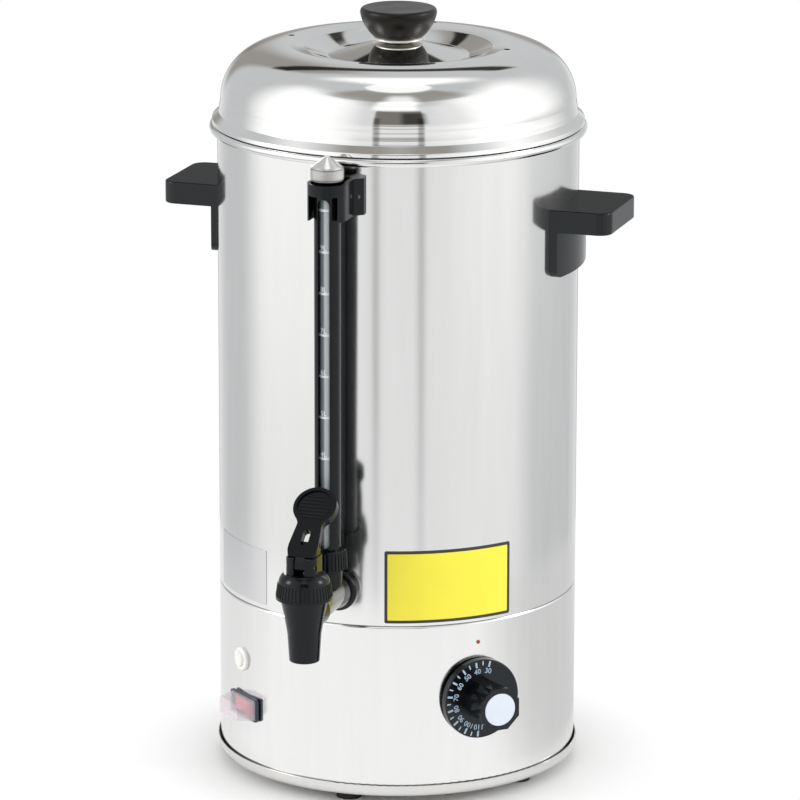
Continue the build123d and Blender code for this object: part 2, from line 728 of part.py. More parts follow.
def thermostat_screws():
    head_seat = SHELL_R + SEAT
    length = head_seat - THERMOSTAT_FACE + SCREW_BITE
    screws = []
    for side in (-1, 1):
        screw = Rot(180, 0, 0) * pan_screw(SCREW_R, SCREW_HEAD_R, SCREW_HEAD_H, length)
        place = on_wall(DIAL_AZIMUTH, DIAL_H) * Pos(0, side * THERMOSTAT_SCREW_SPACING / 2, head_seat)
        screws.append(place * screw)
    return screws


def dial_shaft():
    shaft = rod(SHAFT_R, SHAFT_INNER_END, SHAFT_GRIP_END)
    flat_low = DIAL_FACE - PAST
    flat = Pos(0, SHAFT_R, 0) * block(2 * SHAFT_R, 2 * SHAFT_FLAT, flat_low, SHAFT_GRIP_END + PAST)
    return on_wall(DIAL_AZIMUTH, DIAL_H) * (shaft - flat)


def dial_knob():
    disc = rod(DIAL_R, DIAL_FACE - DIAL_RIM_DEPTH, DIAL_FACE)
    face_rim = disc.edges().filter_by(GeomType.CIRCLE).sort_by(Axis.Z)[-1]
    disc = fillet(face_rim, DIAL_EDGE)
    disc -= rod(DIAL_R - DIAL_WALL, DIAL_FACE - DIAL_RIM_DEPTH - PAST, DIAL_FACE - DIAL_WALL)
    face = DIAL_FACE + GRIP_HEIGHT
    turn = Rot(0, 0, 180.0 / GRIP_SIDES)
    low = Pos(0, 0, DIAL_FACE - DIAL_WALL / 2) * turn * RegularPolygon(GRIP_BASE_R, GRIP_SIDES)
    high = Pos(0, 0, face) * turn * RegularPolygon(GRIP_FACE_R, GRIP_SIDES)
    grip = loft([low, high])
    hub = rod(SHAFT_R + KNOB_HUB_WALL, DIAL_FACE - DIAL_WALL - KNOB_HUB_DROP, DIAL_FACE)
    knob = disc + grip + hub
    knob -= rod(INSERT_R + SEAT, face - INSERT_T, face + PAST)
    bore = rod(SHAFT_R + SEAT, DIAL_FACE - 2 * DIAL_RIM_DEPTH, SHAFT_GRIP_END + CLEAR)
    flat_low = DIAL_FACE - PAST + CLEAR
    flat_gap = SHAFT_FLAT - SEAT
    bore -= Pos(0, SHAFT_R, 0) * block(2 * SHAFT_R, 2 * flat_gap, flat_low, SHAFT_GRIP_END + PAST)
    return on_wall(DIAL_AZIMUTH, DIAL_H) * (knob - bore)


def dial_insert():
    face = DIAL_FACE + GRIP_HEIGHT
    disc = rod(INSERT_R, face - INSERT_T, face + INSERT_PROUD)
    rim = disc.edges().filter_by(GeomType.CIRCLE).sort_by(Axis.Z)[-1]
    return on_wall(DIAL_AZIMUTH, DIAL_H) * fillet(rim, INSERT_PROUD - SEAT)


# ---------------------------------------------------------------- switch and reset
ROCKER_PIVOT = SWITCH_FACE - ROCKER_PIVOT_DEPTH


def switch_housing():
    face = SWITCH_FACE
    plate = RectangleRounded(BEZEL_WIDTH, BEZEL_HEIGHT, BEZEL_CORNER_R)
    bezel = extrude(Pos(0, 0, face - BEZEL_T) * plate, BEZEL_T)
    body = block(SWITCH_BODY_WIDTH, SWITCH_BODY_HEIGHT, face - BEZEL_T - SWITCH_BODY_DEPTH, face - BEZEL_T)
    housing = bezel + body
    floor = ROCKER_PIVOT - ROCKER_DROP
    housing -= block(SWITCH_WINDOW_WIDTH, SWITCH_WINDOW_HEIGHT, floor, face + PAST)
    housing -= rocker_pin_bar(ROCKER_PIN_R + SEAT, CLEAR)
    low = face - BEZEL_T - SWITCH_BODY_DEPTH
    for x in (-1, 0, 1):
        housing += Pos(x * SWITCH_TAB_SPACING, 0, 0) * block(TAB_T, TAB_WIDTH, low - TAB_LENGTH, low)
    return on_wall(SWITCH_AZIMUTH, SWITCH_H) * housing


def rocker_pin_bar(radius, extra):
    """The upright bar through the switch window that the rocker turns on."""
    half = SWITCH_WINDOW_HEIGHT / 2 + ROCKER_PIN_SINK + extra
    return Pos(0, 0, ROCKER_PIVOT) * Rot(90, 0, 0) * rod(radius, -half, half)


def rocker_pin():
    return on_wall(SWITCH_AZIMUTH, SWITCH_H) * rocker_pin_bar(ROCKER_PIN_R, 0)


def switch_rocker():
    """A shallow V seen from above; it rocks about an upright pin."""
    half = ROCKER_WIDTH / 2
    crest = ROCKER_CORNER_RISE
    profile = Polyline(
        (-half, -ROCKER_HEM), (-half, crest), (0, crest - ROCKER_VALLEY), (half, crest), (half, -ROCKER_HEM),
        (0, -ROCKER_BELLY), close=True,
    )
    body = extrude(Plane.XZ * make_face(profile), ROCKER_HEIGHT / 2, both=True)
    body -= Rot(90, 0, 0) * rod(ROCKER_PIN_R + RUNNING, -ROCKER_HEIGHT, ROCKER_HEIGHT)
    tilted = Pos(0, 0, ROCKER_PIVOT) * Rot(0, -ROCKER_TILT, 0) * body
    return on_wall(SWITCH_AZIMUTH, SWITCH_H) * tilted


def splash_cover():
    """The clear hood: a hollow frustum whose foot rests on the bezel."""
    width = BEZEL_WIDTH - 2 * COVER_INSET_X
    height = BEZEL_HEIGHT - 2 * COVER_INSET_Y
    foot = SWITCH_FACE + SEAT
    top = foot + COVER_RISE

    def hood(inset, low, high):
        wide = width - 2 * inset
        tall = height - 2 * inset
        corner = COVER_CORNER_R - inset
        base = Pos(0, 0, low) * RectangleRounded(wide, tall, corner)
        crown = Pos(0, 0, high) * RectangleRounded(wide - 2 * COVER_TAPER_X, tall - 2 * COVER_TAPER_Y, corner)
        return loft([base, crown])

    cover = hood(0, foot, top) - hood(COVER_WALL, foot - SEAT, top - COVER_WALL)
    return on_wall(SWITCH_AZIMUTH, SWITCH_H) * cover


def reset_bezel():
    flange = rod(RESET_BEZEL_R, SHELL_IN - PAST, SHELL_R + RESET_BEZEL_RISE)
    rim = flange.edges().filter_by(GeomType.CIRCLE).sort_by(Axis.Z)[-1]
    flange = fillet(rim, RESET_BEZEL_EDGE)
    flange -= on_wall(RESET_AZIMUTH, RESET_H).inverse() * WALL
    neck = rod(RESET_NECK_R, LIMITER_FACE, SHELL_R + RESET_BEZEL_RISE - RESET_BEZEL_EDGE)
    bezel = flange + neck
    bezel -= rod(RESET_BUTTON_R + RUNNING, LIMITER_FACE - PAST, SHELL_R + RESET_BEZEL_RISE + PAST)
    return on_wall(RESET_AZIMUTH, RESET_H) * bezel


def reset_button():
    low = LIMITER_FACE + RESET_TRAVEL + CLEAR
    cap = rod(RESET_BUTTON_R, low, SHELL_R + RESET_BUTTON_RISE)
    rim = cap.edges().filter_by(GeomType.CIRCLE).sort_by(Axis.Z)[-1]
    return on_wall(RESET_AZIMUTH, RESET_H) * fillet(rim, RESET_BUTTON_EDGE)


def limiter_body():
    body = rod(LIMITER_R, LIMITER_FACE - LIMITER_DEPTH, LIMITER_FACE)
    body -= on_wall(RESET_AZIMUTH, RESET_H).inverse() * (Cylinder(ALL_ROUND, 4 * RIM_H) - INNER_WALL)
    low = LIMITER_FACE - LIMITER_DEPTH
    for x in (-1, 1):
        body += Pos(x * LIMITER_TAB_X, 0, 0) * block(TAB_T, TAB_WIDTH, low - TAB_LENGTH, low)
    return on_wall(RESET_AZIMUTH, RESET_H) * body


# ---------------------------------------------------------------- cord inlet and terminals
def cable_gland():
    flange_low = SHELL_R + SEAT
    flange = hexagon(GLAND_FLATS, flange_low, flange_low + GLAND_FLANGE_T)
    dome_low = flange_low + GLAND_FLANGE_T
    dome = rod(GLAND_DOME_R, dome_low, dome_low + GLAND_DOME_L)
    rim = dome.edges().filter_by(GeomType.CIRCLE).sort_by(Axis.Z)[-1]
    dome = fillet(rim, GLAND_DOME_ROUND)
    thread = rod(GLAND_THREAD_R, SHELL_IN - GLAND_TAIL, flange_low)
    gland = flange + dome + thread
    gland -= rod(GLAND_BORE_R, SHELL_IN - GLAND_TAIL - PAST, dome_low + GLAND_DOME_L + PAST)
    return on_wall(GLAND_AZIMUTH, GLAND_H) * gland


def gland_nut():
    high = math.sqrt(SHELL_IN**2 - (GLAND_FLATS / 2) ** 2) - SEAT - GLAND_NUT_GAP
    low = high - GLAND_NUT_T
    nut = hexagon(GLAND_FLATS, low, high) - rod(GLAND_THREAD_R + THREAD_FIT, low - PAST, high + PAST)
    return on_wall(GLAND_AZIMUTH, GLAND_H) * nut


def terminal_block():
    """A base strip with a row of raised ways, each with two screw wells."""
    top = PAN_SHEET + BLOCK_HEIGHT
    body = block(BLOCK_LENGTH, BLOCK_WIDTH, PAN_SHEET, PAN_SHEET + BLOCK_BASE_H)
    for i in range(BLOCK_WAYS):
        way = block(BLOCK_PITCH - BLOCK_GAP, BLOCK_WIDTH - 2 * BLOCK_POD_INSET, PAN_SHEET, top)
        for side in (-1, 1):
            way -= Pos(0, side * BLOCK_SCREW_Y, 0) * rod(BLOCK_SCREW_R, top - BLOCK_SCREW_DEPTH, top + PAST)
        body += Pos((i - (BLOCK_WAYS - 1) / 2) * BLOCK_PITCH, 0, 0) * way
    return Pos(0, BLOCK_Y, 0) * body


def earth_stud():
    stud = rod(EARTH_R, PAN_SHEET, PAN_SHEET + EARTH_L)
    stud += hexagon(EARTH_NUT_FLATS, PAN_SHEET, PAN_SHEET + EARTH_NUT_T)
    return Pos(EARTH_X, EARTH_Y, 0) * stud


# ---------------------------------------------------------------- tap
def tap_shank():
    axis = on_wall(0, TAP_H)
    body = rod(SHANK_TAIL_R, SHANK_INNER_END, SHANK_SHOULDER)
    body += rod(SHANK_R, SHANK_SHOULDER, PORT_END - SEAT)
    body += rod(SHANK_COLLAR_R, SHANK_SHOULDER, SHANK_SHOULDER + SHANK_COLLAR_L)
    nose_end = TAP_REACH - CHAMBER_R - CLEAR
    body += rod(SHANK_NOSE_R, PORT_END - SEAT, nose_end)
    body = axis * body
    body += at_gauge(rod(BOSS_R, TAP_H, BOSS_TOP_H))
    body -= axis * rod(SHANK_BORE_R, SHANK_INNER_END - PAST, nose_end + PAST)
    return body - at_gauge(rod(BOSS_BORE_R, TAP_H, BOSS_TOP_H + PAST))


def wall_flange():
    high = SHANK_SHOULDER - SEAT
    low = SHELL_IN - FLANGE_T
    disc = rod(FLANGE_R, low, high)
    rim = disc.edges().filter_by(GeomType.CIRCLE).sort_by(Axis.Z)[-1]
    disc = fillet(rim, FLANGE_EDGE)
    disc -= on_wall(0, TAP_H).inverse() * WALL
    disc -= rod(SEAL_R + SEAT, low - PAST, SHELL_R + SEAL_T)
    return on_wall(0, TAP_H) * (disc - rod(SHANK_TAIL_R + SEAT, low - PAST, high + PAST))


def shank_seals():
    wall = on_wall(0, TAP_H).inverse() * WALL
    inner = on_wall(0, TAP_H).inverse() * INNER_WALL
    outside = ring(SEAL_R, SHANK_TAIL_R + SEAT, SHELL_IN - SEAL_T, SHELL_R + SEAL_T - SEAT) - wall
    inside = ring(SEAL_R, SHANK_TAIL_R + SEAT, SHELL_IN - SEAL_T - SEAL_BACK, SHELL_IN) & inner
    return [on_wall(0, TAP_H) * outside, on_wall(0, TAP_H) * inside]


def shank_nut():
    high = SHELL_IN - SEAL_T - SEAL_BACK
    low = high - SHANK_NUT_T
    nut = hexagon(SHANK_NUT_FLATS, low, high)
    return on_wall(0, TAP_H) * (nut - rod(SHANK_TAIL_R + THREAD_FIT, low - PAST, high + PAST))


def tap_body():
    """The spout: a flared cone round a valve chamber, with a port that takes the shank."""
    neck = (SPOUT_NECK_R, SPOUT_NECK_H)
    brim = (SPOUT_TOP_R, SPOUT_TOP_H)
    flare = ThreePointArc(neck, (SPOUT_FLARE_R, SPOUT_FLARE_H), brim)
    sides = Polyline(brim, (0, SPOUT_TOP_H), (0, SPOUT_LOW_H), (SPOUT_R, SPOUT_LOW_H), neck)
    body = turned(make_face(flare.edges() + sides.edges()))
    lip = body.edges().filter_by(GeomType.CIRCLE).sort_by(Axis.Z)[0]
    body = fillet(lip, BROKEN_EDGE)
    body = at_tap(body) + on_wall(0, TAP_H) * rod(PORT_R, PORT_END, TAP_REACH)
    body -= at_tap(rod(CHAMBER_R, CHAMBER_FLOOR_H, SPOUT_TOP_H + PAST))
    body -= at_tap(cone(OUTLET_R, OUTLET_R + SEAT_CONE, CHAMBER_FLOOR_H - SEAT_CONE, CHAMBER_FLOOR_H))
    body -= at_tap(rod(OUTLET_R, SPOUT_LOW_H - PAST, CHAMBER_FLOOR_H))
    return body - on_wall(0, TAP_H) * rod(SHANK_NOSE_R + SEAT, PORT_END - PAST, TAP_REACH - CHAMBER_R + PAST)


def tap_bonnet():
    """The ribbed cap that closes the chamber, with the hub that carries the lever."""
    low = BONNET_LOW_H
    points = (
        (0, low), (BONNET_R, low), (BONNET_R, low + BONNET_BAND),
        (BONNET_R - RIB_DEPTH, low + BONNET_BAND), (BONNET_TOP_R - RIB_DEPTH, BONNET_RIB_TOP_H),
    )
    shoulder = BONNET_TOP_R - RIB_DEPTH
    dome = SagittaArc((shoulder, BONNET_RIB_TOP_H), (BONNET_DOME_R, BONNET_TOP_H), -BONNET_DOME_SAG)
    rest = Polyline((BONNET_DOME_R, BONNET_TOP_H), (0, BONNET_TOP_H), (0, low))
    bonnet = turned(make_face(Polyline(*points).edges() + dome.edges() + rest.edges()))
    rib_low = Plane(origin=(0, 0, low + BONNET_BAND)) * Pos(BONNET_R - RIB_DEPTH, 0) * Circle(RIB_DEPTH)
    rib_high = Plane(origin=(0, 0, BONNET_RIB_TOP_H)) * Pos(BONNET_TOP_R - RIB_DEPTH, 0) * Circle(RIB_DEPTH)
    rib = loft([rib_low, rib_high])
    bonnet += around(BONNET_RIBS, rib)
    return at_tap(bonnet) + lever_hub() - bonnet_hollow()


def bonnet_hollow():
    """The thread for the spout's top, the spring pocket and the guide for the stem."""
    low = BONNET_LOW_H - PAST
    hollow = rod(SPRING_R + SPRING_WIRE_R + CLEAR, low, BONNET_TOP_H - GUIDE_L)
    hollow += rod(CHAMBER_R, low, BONNET_LOW_H + BONNET_RECESS)
    return at_tap(hollow + rod(STEM_R + RUNNING, low, BONNET_TOP_H + PAST))


def lever_hub():
    """Two cheeks with a slot between them; the front of the top is rounded about the pivot."""
    low = BONNET_TOP_H - HUB_ROOT
    hub = extrude(Pos(0, 0, low) * RectangleRounded(HUB_WIDTH, HUB_WIDTH, HUB_CORNER_R), HUB_TOP_H - low)
    hub = at_tap(hub)
    pivot_y = -TAP_REACH - PIVOT_FORWARD
    across = 2 * HUB_WIDTH
    pivot = Pos(0, pivot_y, PIVOT_H)
    front = pivot * Pos(0, -across / 2, across / 2) * Box(across, across, across)
    hub -= front - pivot * Rot(0, 90, 0) * Cylinder(HUB_NOSE_R, 2 * across)
    slot = Pos(0, HUB_SLOT_BACK - across / 2, BONNET_TOP_H + across / 2) * Box(HUB_SLOT, across, across)
    hub -= at_tap(slot)
    return hub - pivot * Rot(0, 90, 0) * Cylinder(PIVOT_PIN_R + SEAT, across)


def lever_pin():
    place = Pos(0, -TAP_REACH - PIVOT_FORWARD, PIVOT_H) * Rot(0, 90, 0)
    return place * Cylinder(PIVOT_PIN_R, HUB_WIDTH - 2 * PIVOT_PIN_INSET)


def paddle_outline():
    """The lever's face: a wide foot, a waist and a round thumb pad. y runs along the lever."""
    base = LEVER_BASE_WIDTH / 2
    neck = LEVER_NECK_WIDTH / 2
    inside = LEVER_HEAD_AT - neck
    plate = make_face(
        Polyline(
            (-base, 0), (base, 0), (base, LEVER_BASE_END), (neck, inside), (-neck, inside),
            (-base, LEVER_BASE_END), close=True,
        )
    )
    return plate + Pos(0, LEVER_HEAD_AT) * Circle(LEVER_HEAD_R)


def lever_paddle():
    """The flat of the lever, lying in x and y with its face upward."""
    paddle = extrude(Pos(0, 0, LEVER_FACE - LEVER_T) * paddle_outline(), LEVER_T)
    upright = paddle.edges().filter_by(Axis.Z)
    waist = [e for e in upright if LEVER_BASE_END + CLEAR < e.center().Y < LEVER_HEAD_AT]
    paddle = fillet(waist, LEVER_WAIST_R)
    floor = LEVER_FACE - LEVER_POCKET
    well_r = LEVER_HEAD_R - LEVER_RIM
    paddle -= Pos(0, LEVER_HEAD_AT, 0) * rod(well_r, floor, LEVER_FACE + PAST)
    for i in range(LEVER_RIBS):
        y = (i - (LEVER_RIBS - 1) / 2) * LEVER_RIB_PITCH
        length = 2 * (math.sqrt(well_r**2 - y**2) - LEVER_RIB_INSET)
        paddle += Pos(0, LEVER_HEAD_AT + y, floor) * Rot(0, 90, 0) * Cylinder(LEVER_RIB_R, length)
    slot = SlotOverall(LEVER_SLOT_LENGTH, LEVER_SLOT_WIDTH, rotation=90)
    return paddle - extrude(Pos(0, LEVER_SLOT_AT, 0) * slot, 2 * LEVER_FACE)


def tap_lever():
    """The paddle on its foot, the tongue in the hub and the forked heel that lifts the stem."""
    under = HUB_NOSE_R + CLEAR
    tilt = Rot(90 - LEVER_LEAN, 0, 0)
    paddle = tilt * lever_paddle()
    plan = RectangleRounded(LEVER_BASE_WIDTH, LEVER_BASE_WIDTH, LEVER_BASE_CORNER_R)
    foot = extrude(Pos(0, PIVOT_FORWARD, under) * plan, LEVER_BASE_DEPTH)
    large = 3 * HUB_WIDTH
    around_foot = Pos(0, PIVOT_FORWARD, under) * Box(large, large, 2 * LEVER_FOOT_H) - foot
    back = tilt * block(large, large, -large / 2, LEVER_FACE - LEVER_T / 2)
    ahead = Pos(0, LEVER_FOOT_END - large / 2, 0) * Box(large, large, large)
    lever = (paddle - around_foot) + (foot & back & ahead)
    lever -= Pos(0, large / 2, under - large / 2) * Box(large, large, large)
    lever -= Rot(0, 90, 0) * Cylinder(under, large)
    lever += lever_tongue(under)
    lever -= Rot(0, 90, 0) * Cylinder(PIVOT_PIN_R + RUNNING, large)
    return Pos(0, -TAP_REACH - PIVOT_FORWARD, PIVOT_H) * lever


def lever_tongue(under):
    """The stalk between the hub's cheeks and the fork behind it, about the pivot."""
    tongue = Rot(0, 90, 0) * Cylinder(TONGUE_R, TONGUE_WIDTH)
    stalk = make_face(
        Polyline(
            (-TONGUE_R, 0), (-TONGUE_R, under / 2), (-TONGUE_R / 2, under),
            (STALK_TOP_LOW, under + STALK_SINK), (STALK_TOP_HIGH, under + STALK_SINK),
            (STALK_TOP_HIGH, under), (TONGUE_R, TONGUE_R), (TONGUE_R, 0), close=True,
        )
    )
    tongue += extrude(Plane.YZ * stalk, TONGUE_WIDTH / 2, both=True)
    tongue += Pos(0, PIVOT_FORWARD, -HEEL_DROP) * Rot(0, 90, 0) * Cylinder(HEEL_R, TONGUE_WIDTH)
    web_top = -HEEL_DROP + HEEL_R - HEEL_GAP
    web = make_face(
        Polyline(
            (0, web_top), (PIVOT_FORWARD, web_top), (PIVOT_FORWARD, -HEEL_DROP - HEEL_R), (0, -TONGUE_R),
            close=True,
        )
    )
    tongue += extrude(Plane.YZ * web, TONGUE_WIDTH / 2, both=True)
    gap_start = PIVOT_PIN_R + HEEL_BRIDGE
    gap_end = PIVOT_FORWARD + HEEL_R + PAST
    gap = Pos(0, (gap_start + gap_end) / 2, -HEEL_DROP) * Box(HEEL_SLOT, gap_end - gap_start, 3 * HEEL_R)
    return tongue - gap


STEM_TOP_H = PIVOT_H - HEEL_DROP + HEEL_R + HEEL_GAP + STEM_HEAD_H
CUP_LOW_H = CHAMBER_FLOOR_H + CUP_LIFT
CUP_TOP_H = CUP_LOW_H + CUP_H


def seat_cup():
    cup = rod(CUP_R, CUP_LOW_H, CUP_TOP_H)
    cup = chamfer(cup.edges().filter_by(GeomType.CIRCLE).sort_by(Axis.Z)[-1], CUP_EDGE)
    cup -= rod(CUP_R - CUP_SKIRT, CUP_LOW_H - PAST, CUP_LOW_H + CUP_HOLLOW)
    return at_tap(cup - rod(STEM_R + SEAT, CUP_LOW_H + STEM_END - SEAT, CUP_TOP_H + PAST))


def valve_stem():
    stem = rod(STEM_R, CUP_LOW_H + STEM_END, STEM_TOP_H)
    stem += rod(STEM_FLANGE_R, CUP_TOP_H, CUP_TOP_H + STEM_FLANGE_H)
    stem += rod(STEM_HEAD_R, STEM_TOP_H - STEM_HEAD_H, STEM_TOP_H)
    return at_tap(stem)


def valve_spring():
    low = CUP_TOP_H + STEM_FLANGE_H + SPRING_WIRE_R + SEAT
    high = BONNET_TOP_H - GUIDE_L - SPRING_WIRE_R - SEAT
    pitch = (high - low) / SPRING_TURNS
    path = Helix(pitch=pitch, height=high - low, radius=SPRING_R)
    start = path @ 0
    section = Plane(origin=start, z_dir=path % 0) * RegularPolygon(SPRING_WIRE_R, 6)
    coil = sweep(section, path=path, is_frenet=True)
    return at_tap(Pos(0, 0, low) * coil)


# ---------------------------------------------------------------- sight gauge
def gauge_socket():
    low = TAP_H + SHANK_R - SOCKET_SINK
    body = ring(SOCKET_R, BOSS_R + THREAD_FIT, low, SOCKET_TOP_H)
    saddle = on_wall(0, TAP_H) * rod(SHANK_R + SEAT, SHANK_SHOULDER, PORT_END)
    return at_gauge(body) - saddle


def ribbed_nut(low_radius, high_radius, low, high, ribs):
    """A tapered nut with upright ribs round its side."""
    nut = cone(low_radius - RIB_DEPTH, high_radius - RIB_DEPTH, low, high)
    base = Plane(origin=(0, 0, low)) * Pos(low_radius - RIB_DEPTH, 0) * Circle(RIB_DEPTH)
    rib_top = Plane(origin=(0, 0, high - LOWER_NUT_EDGE))
    top = rib_top * Pos(high_radius - RIB_DEPTH, 0) * Circle(RIB_DEPTH)
    return nut + around(ribs, loft([base, top]))


def gauge_lower_nut():
    nut = ribbed_nut(LOWER_NUT_R, LOWER_NUT_TOP_R, LOWER_NUT_LOW_H, LOWER_NUT_TOP_H, LOWER_NUT_RIBS)
    nut -= rod(SOCKET_R + THREAD_FIT, LOWER_NUT_LOW_H - PAST, SOCKET_TOP_H + SEAT)
    return at_gauge(nut - rod(SHIELD_R + SEAT, SOCKET_TOP_H, LOWER_NUT_TOP_H + PAST))


GLASS_LOW_H = BOSS_TOP_H + SEAT
GLASS_TOP_H = BUSH_TOP_H - BUSH_OVER_GLASS


def gauge_glass():
    return at_gauge(ring(GLASS_R, GLASS_R - GLASS_WALL, GLASS_LOW_H, GLASS_TOP_H))


def gauge_shield():
    low = SOCKET_TOP_H + SEAT
    high = COLLAR_LOW_H - SEAT
    tube = ring(SHIELD_R, SHIELD_R - SHIELD_WALL, low, high)
    mid = (WINDOW_LOW_H + WINDOW_TOP_H) / 2
    window = SlotOverall(WINDOW_TOP_H - WINDOW_LOW_H, WINDOW_WIDTH, rotation=90)
    tube -= on_wall(0, mid) * extrude(window, SHIELD_R + PAST)
    return at_gauge(tube)


def gauge_seals():
    lower = ring(BOSS_R - SEAT, GLASS_R + SEAT, GLASS_LOW_H, GLASS_LOW_H + GAUGE_SEAL_H)
    upper_low = COLLAR_LOW_H + COLLAR_FLOOR_T + SEAT
    upper = ring(BUSH_THREAD_R - BUSH_WALL - SEAT, GLASS_R + SEAT, upper_low, upper_low + GAUGE_SEAL_H)
    return [at_gauge(lower), at_gauge(upper)]


def gauge_vent_bush():
    low = COLLAR_LOW_H + COLLAR_FLOOR_T + SEAT
    bush = rod(BUSH_FLANGE_R, low, low + BUSH_FLANGE_T) + rod(BUSH_THREAD_R, low, BUSH_TOP_H)
    return at_gauge(bush - rod(BUSH_THREAD_R - BUSH_WALL, low - PAST, BUSH_TOP_H + PAST))


def gauge_cap_nut():
    cap = rod(CAP_R, CAP_LOW_H, CAP_BAND_TOP_H)
    cap = chamfer(cap.edges().filter_by(GeomType.CIRCLE), CAP_CHAMFER)
    cap += cone(CAP_R - CAP_CHAMFER, CAP_TIP_R, CAP_BAND_TOP_H, CAP_CONE_TOP_H)
    cap += rod(CAP_TIP_R, CAP_CONE_TOP_H, CAP_CONE_TOP_H + CAP_TIP_H)
    return at_gauge(cap - rod(BUSH_THREAD_R + THREAD_FIT, CAP_LOW_H - PAST, BUSH_TOP_H + CLEAR))


def bracket_screw_places():
    return [on_wall(0, BRACKET_SCREW_H) * Pos(side * BRACKET_SCREW_X, 0, 0) for side in (-1, 1)]


def gauge_bracket():
    """A collar round the gauge's top, carried by two cheeks that flare out onto the wall."""
    wall_y = -SHELL_R + FLARE_HALF_WIDTH / 2
    flare_y = -FLARE_START
    flare_end_y = flare_y + FLARE_SLOPE
    front_y = -GAUGE_REACH
    plan = make_face(
        Polyline(
            (-FLARE_HALF_WIDTH, wall_y), (-FLARE_HALF_WIDTH, flare_end_y), (-CHEEK_OUT, flare_y),
            (-CHEEK_OUT, front_y), (CHEEK_OUT, front_y), (CHEEK_OUT, flare_y),
            (FLARE_HALF_WIDTH, flare_end_y), (FLARE_HALF_WIDTH, wall_y), close=True,
        )
    )
    plan += Pos(0, front_y) * Circle(CHEEK_OUT)
    low = GAUGE_BRACKET_LOW_H
    high = GAUGE_BRACKET_TOP_H + PAST
    body = extrude(Pos(0, 0, low) * plan, GAUGE_BRACKET_H)
    back_y = -SHELL_R - BACK_PLATE_T
    depth = 2 * (GAUGE_STANDOFF + CHEEK_OUT)
    body -= Pos(0, back_y - depth / 2, 0) * block(2 * CHEEK_IN, depth, low - PAST, COLLAR_LOW_H)
    above_low = COLLAR_LOW_H + COLLAR_FLOOR_T
    body -= at_gauge(rod(COLLAR_IN_R, above_low, high))
    trench = back_y - front_y
    body -= Pos(0, front_y + trench / 2, 0) * block(2 * CHEEK_IN, trench, above_low, high)
    body -= at_gauge(rod(GLASS_R + SEAT, low, high))
    body -= WALL
    for place in bracket_screw_places():
        body -= place * rod(BRACKET_SCREW_R + THREAD_FIT, SHELL_IN / 2, SHELL_R + BRACKET_SCREW_DEPTH + CLEAR)
    return body


def bracket_screws():
    screws = []
    edge = BRACKET_SCREW_X + BRACKET_SCREW_HEAD_R
    seat = math.sqrt(SHELL_IN**2 - edge**2) - SEAT
    length = SHELL_R - seat + BRACKET_SCREW_DEPTH
    for place in bracket_screw_places():
        screw = pan_screw(BRACKET_SCREW_R, BRACKET_SCREW_HEAD_R, BRACKET_SCREW_HEAD_H, length)
        screws.append(place * Pos(0, 0, seat) * screw)
    return screws


# ---------------------------------------------------------------- lid
LID_LOW_H = RIM_H + LID_GAP
CROWN_TURN = math.radians(CROWN_SIDE_ANGLE)
LID_CROWN_RISE = CROWN_SIDE_R * math.sin(CROWN_TURN) + CROWN_TOP_R * (1 - math.sin(CROWN_TURN))
LID_TOP_H = LID_LOW_H + LID_WALL_RISE + LID_CROWN_RISE + LID_SHEET


def lid_shell():
    """A spun lid: edge, ledge, wall, a crown of two arcs, the well and its central cone."""
    mid = LID_SHEET / 2
    ledge_h = LID_LOW_H + LID_LEDGE_RISE
    flange = FilletPolyline(
        (LID_EDGE_R - mid, LID_LOW_H + mid), (LID_EDGE_R - mid - LID_EDGE_LEAN, LID_LOW_H + LID_EDGE_H),
        (LID_LEDGE_R - mid, ledge_h - LID_LEDGE_ROUND), (LID_WALL_R - mid, ledge_h + LID_LEDGE_ROUND),
        (LID_WALL_R - LID_DRAFT - mid, LID_LOW_H + LID_WALL_RISE), radius=LID_BEND,
    )
    side = JernArc(flange @ 1, (0, 1), CROWN_SIDE_R, CROWN_SIDE_ANGLE)
    top = JernArc(side @ 1, side % 1, CROWN_TOP_R, 90 - CROWN_SIDE_ANGLE)
    high = LID_TOP_H - mid
    cone_h = LID_TOP_H + WELL_CONE_RISE - mid
    well = FilletPolyline(
        top @ 1, (WELL_RIM_R, high), (WELL_VALLEY_R, high - WELL_DEPTH), (WELL_CONE_R, cone_h), (0, cone_h),
        radius=WELL_BEND,
    )
    shell = turned(sheet_strip(flange.edges() + side.edges() + top.edges() + well.edges(), LID_SHEET))
    over = LID_TOP_H + WELL_CONE_RISE + PAST
    shell -= rod(KNOB_SCREW_R + SEAT, LID_LOW_H, over)
    for vent in around(VENT_COUNT, Pos(0, -VENT_CIRCLE_R, 0) * rod(VENT_R, LID_LOW_H, over)):
        shell -= vent
    return shell


def lid_ring():
    """The locating ring welded inside the lid, which drops into the tank's mouth."""
    mid = LID_SHEET / 2
    low_r = SHELL_IN - LID_RING_GAP - mid
    weld_r = LID_WALL_R - LID_DRAFT - LID_SHEET - SEAT - mid
    top = LID_LOW_H + LID_WALL_RISE
    foot_h = LID_LOW_H - LID_RING_DEPTH
    path = FilletPolyline(
        (low_r - LID_RING_LEAN, foot_h), (low_r, foot_h + LID_RING_LEAD), (low_r, LID_LOW_H + LID_EDGE_H),
        (weld_r, LID_LOW_H + LID_LEDGE_RISE + LID_LEDGE_ROUND), (weld_r, top), radius=LID_BEND,
    )
    return turned(sheet_strip(path.edges(), LID_SHEET))


FERRULE_LOW_H = LID_TOP_H + WELL_CONE_RISE
KNOB_LOW_H = FERRULE_LOW_H + FERRULE_H


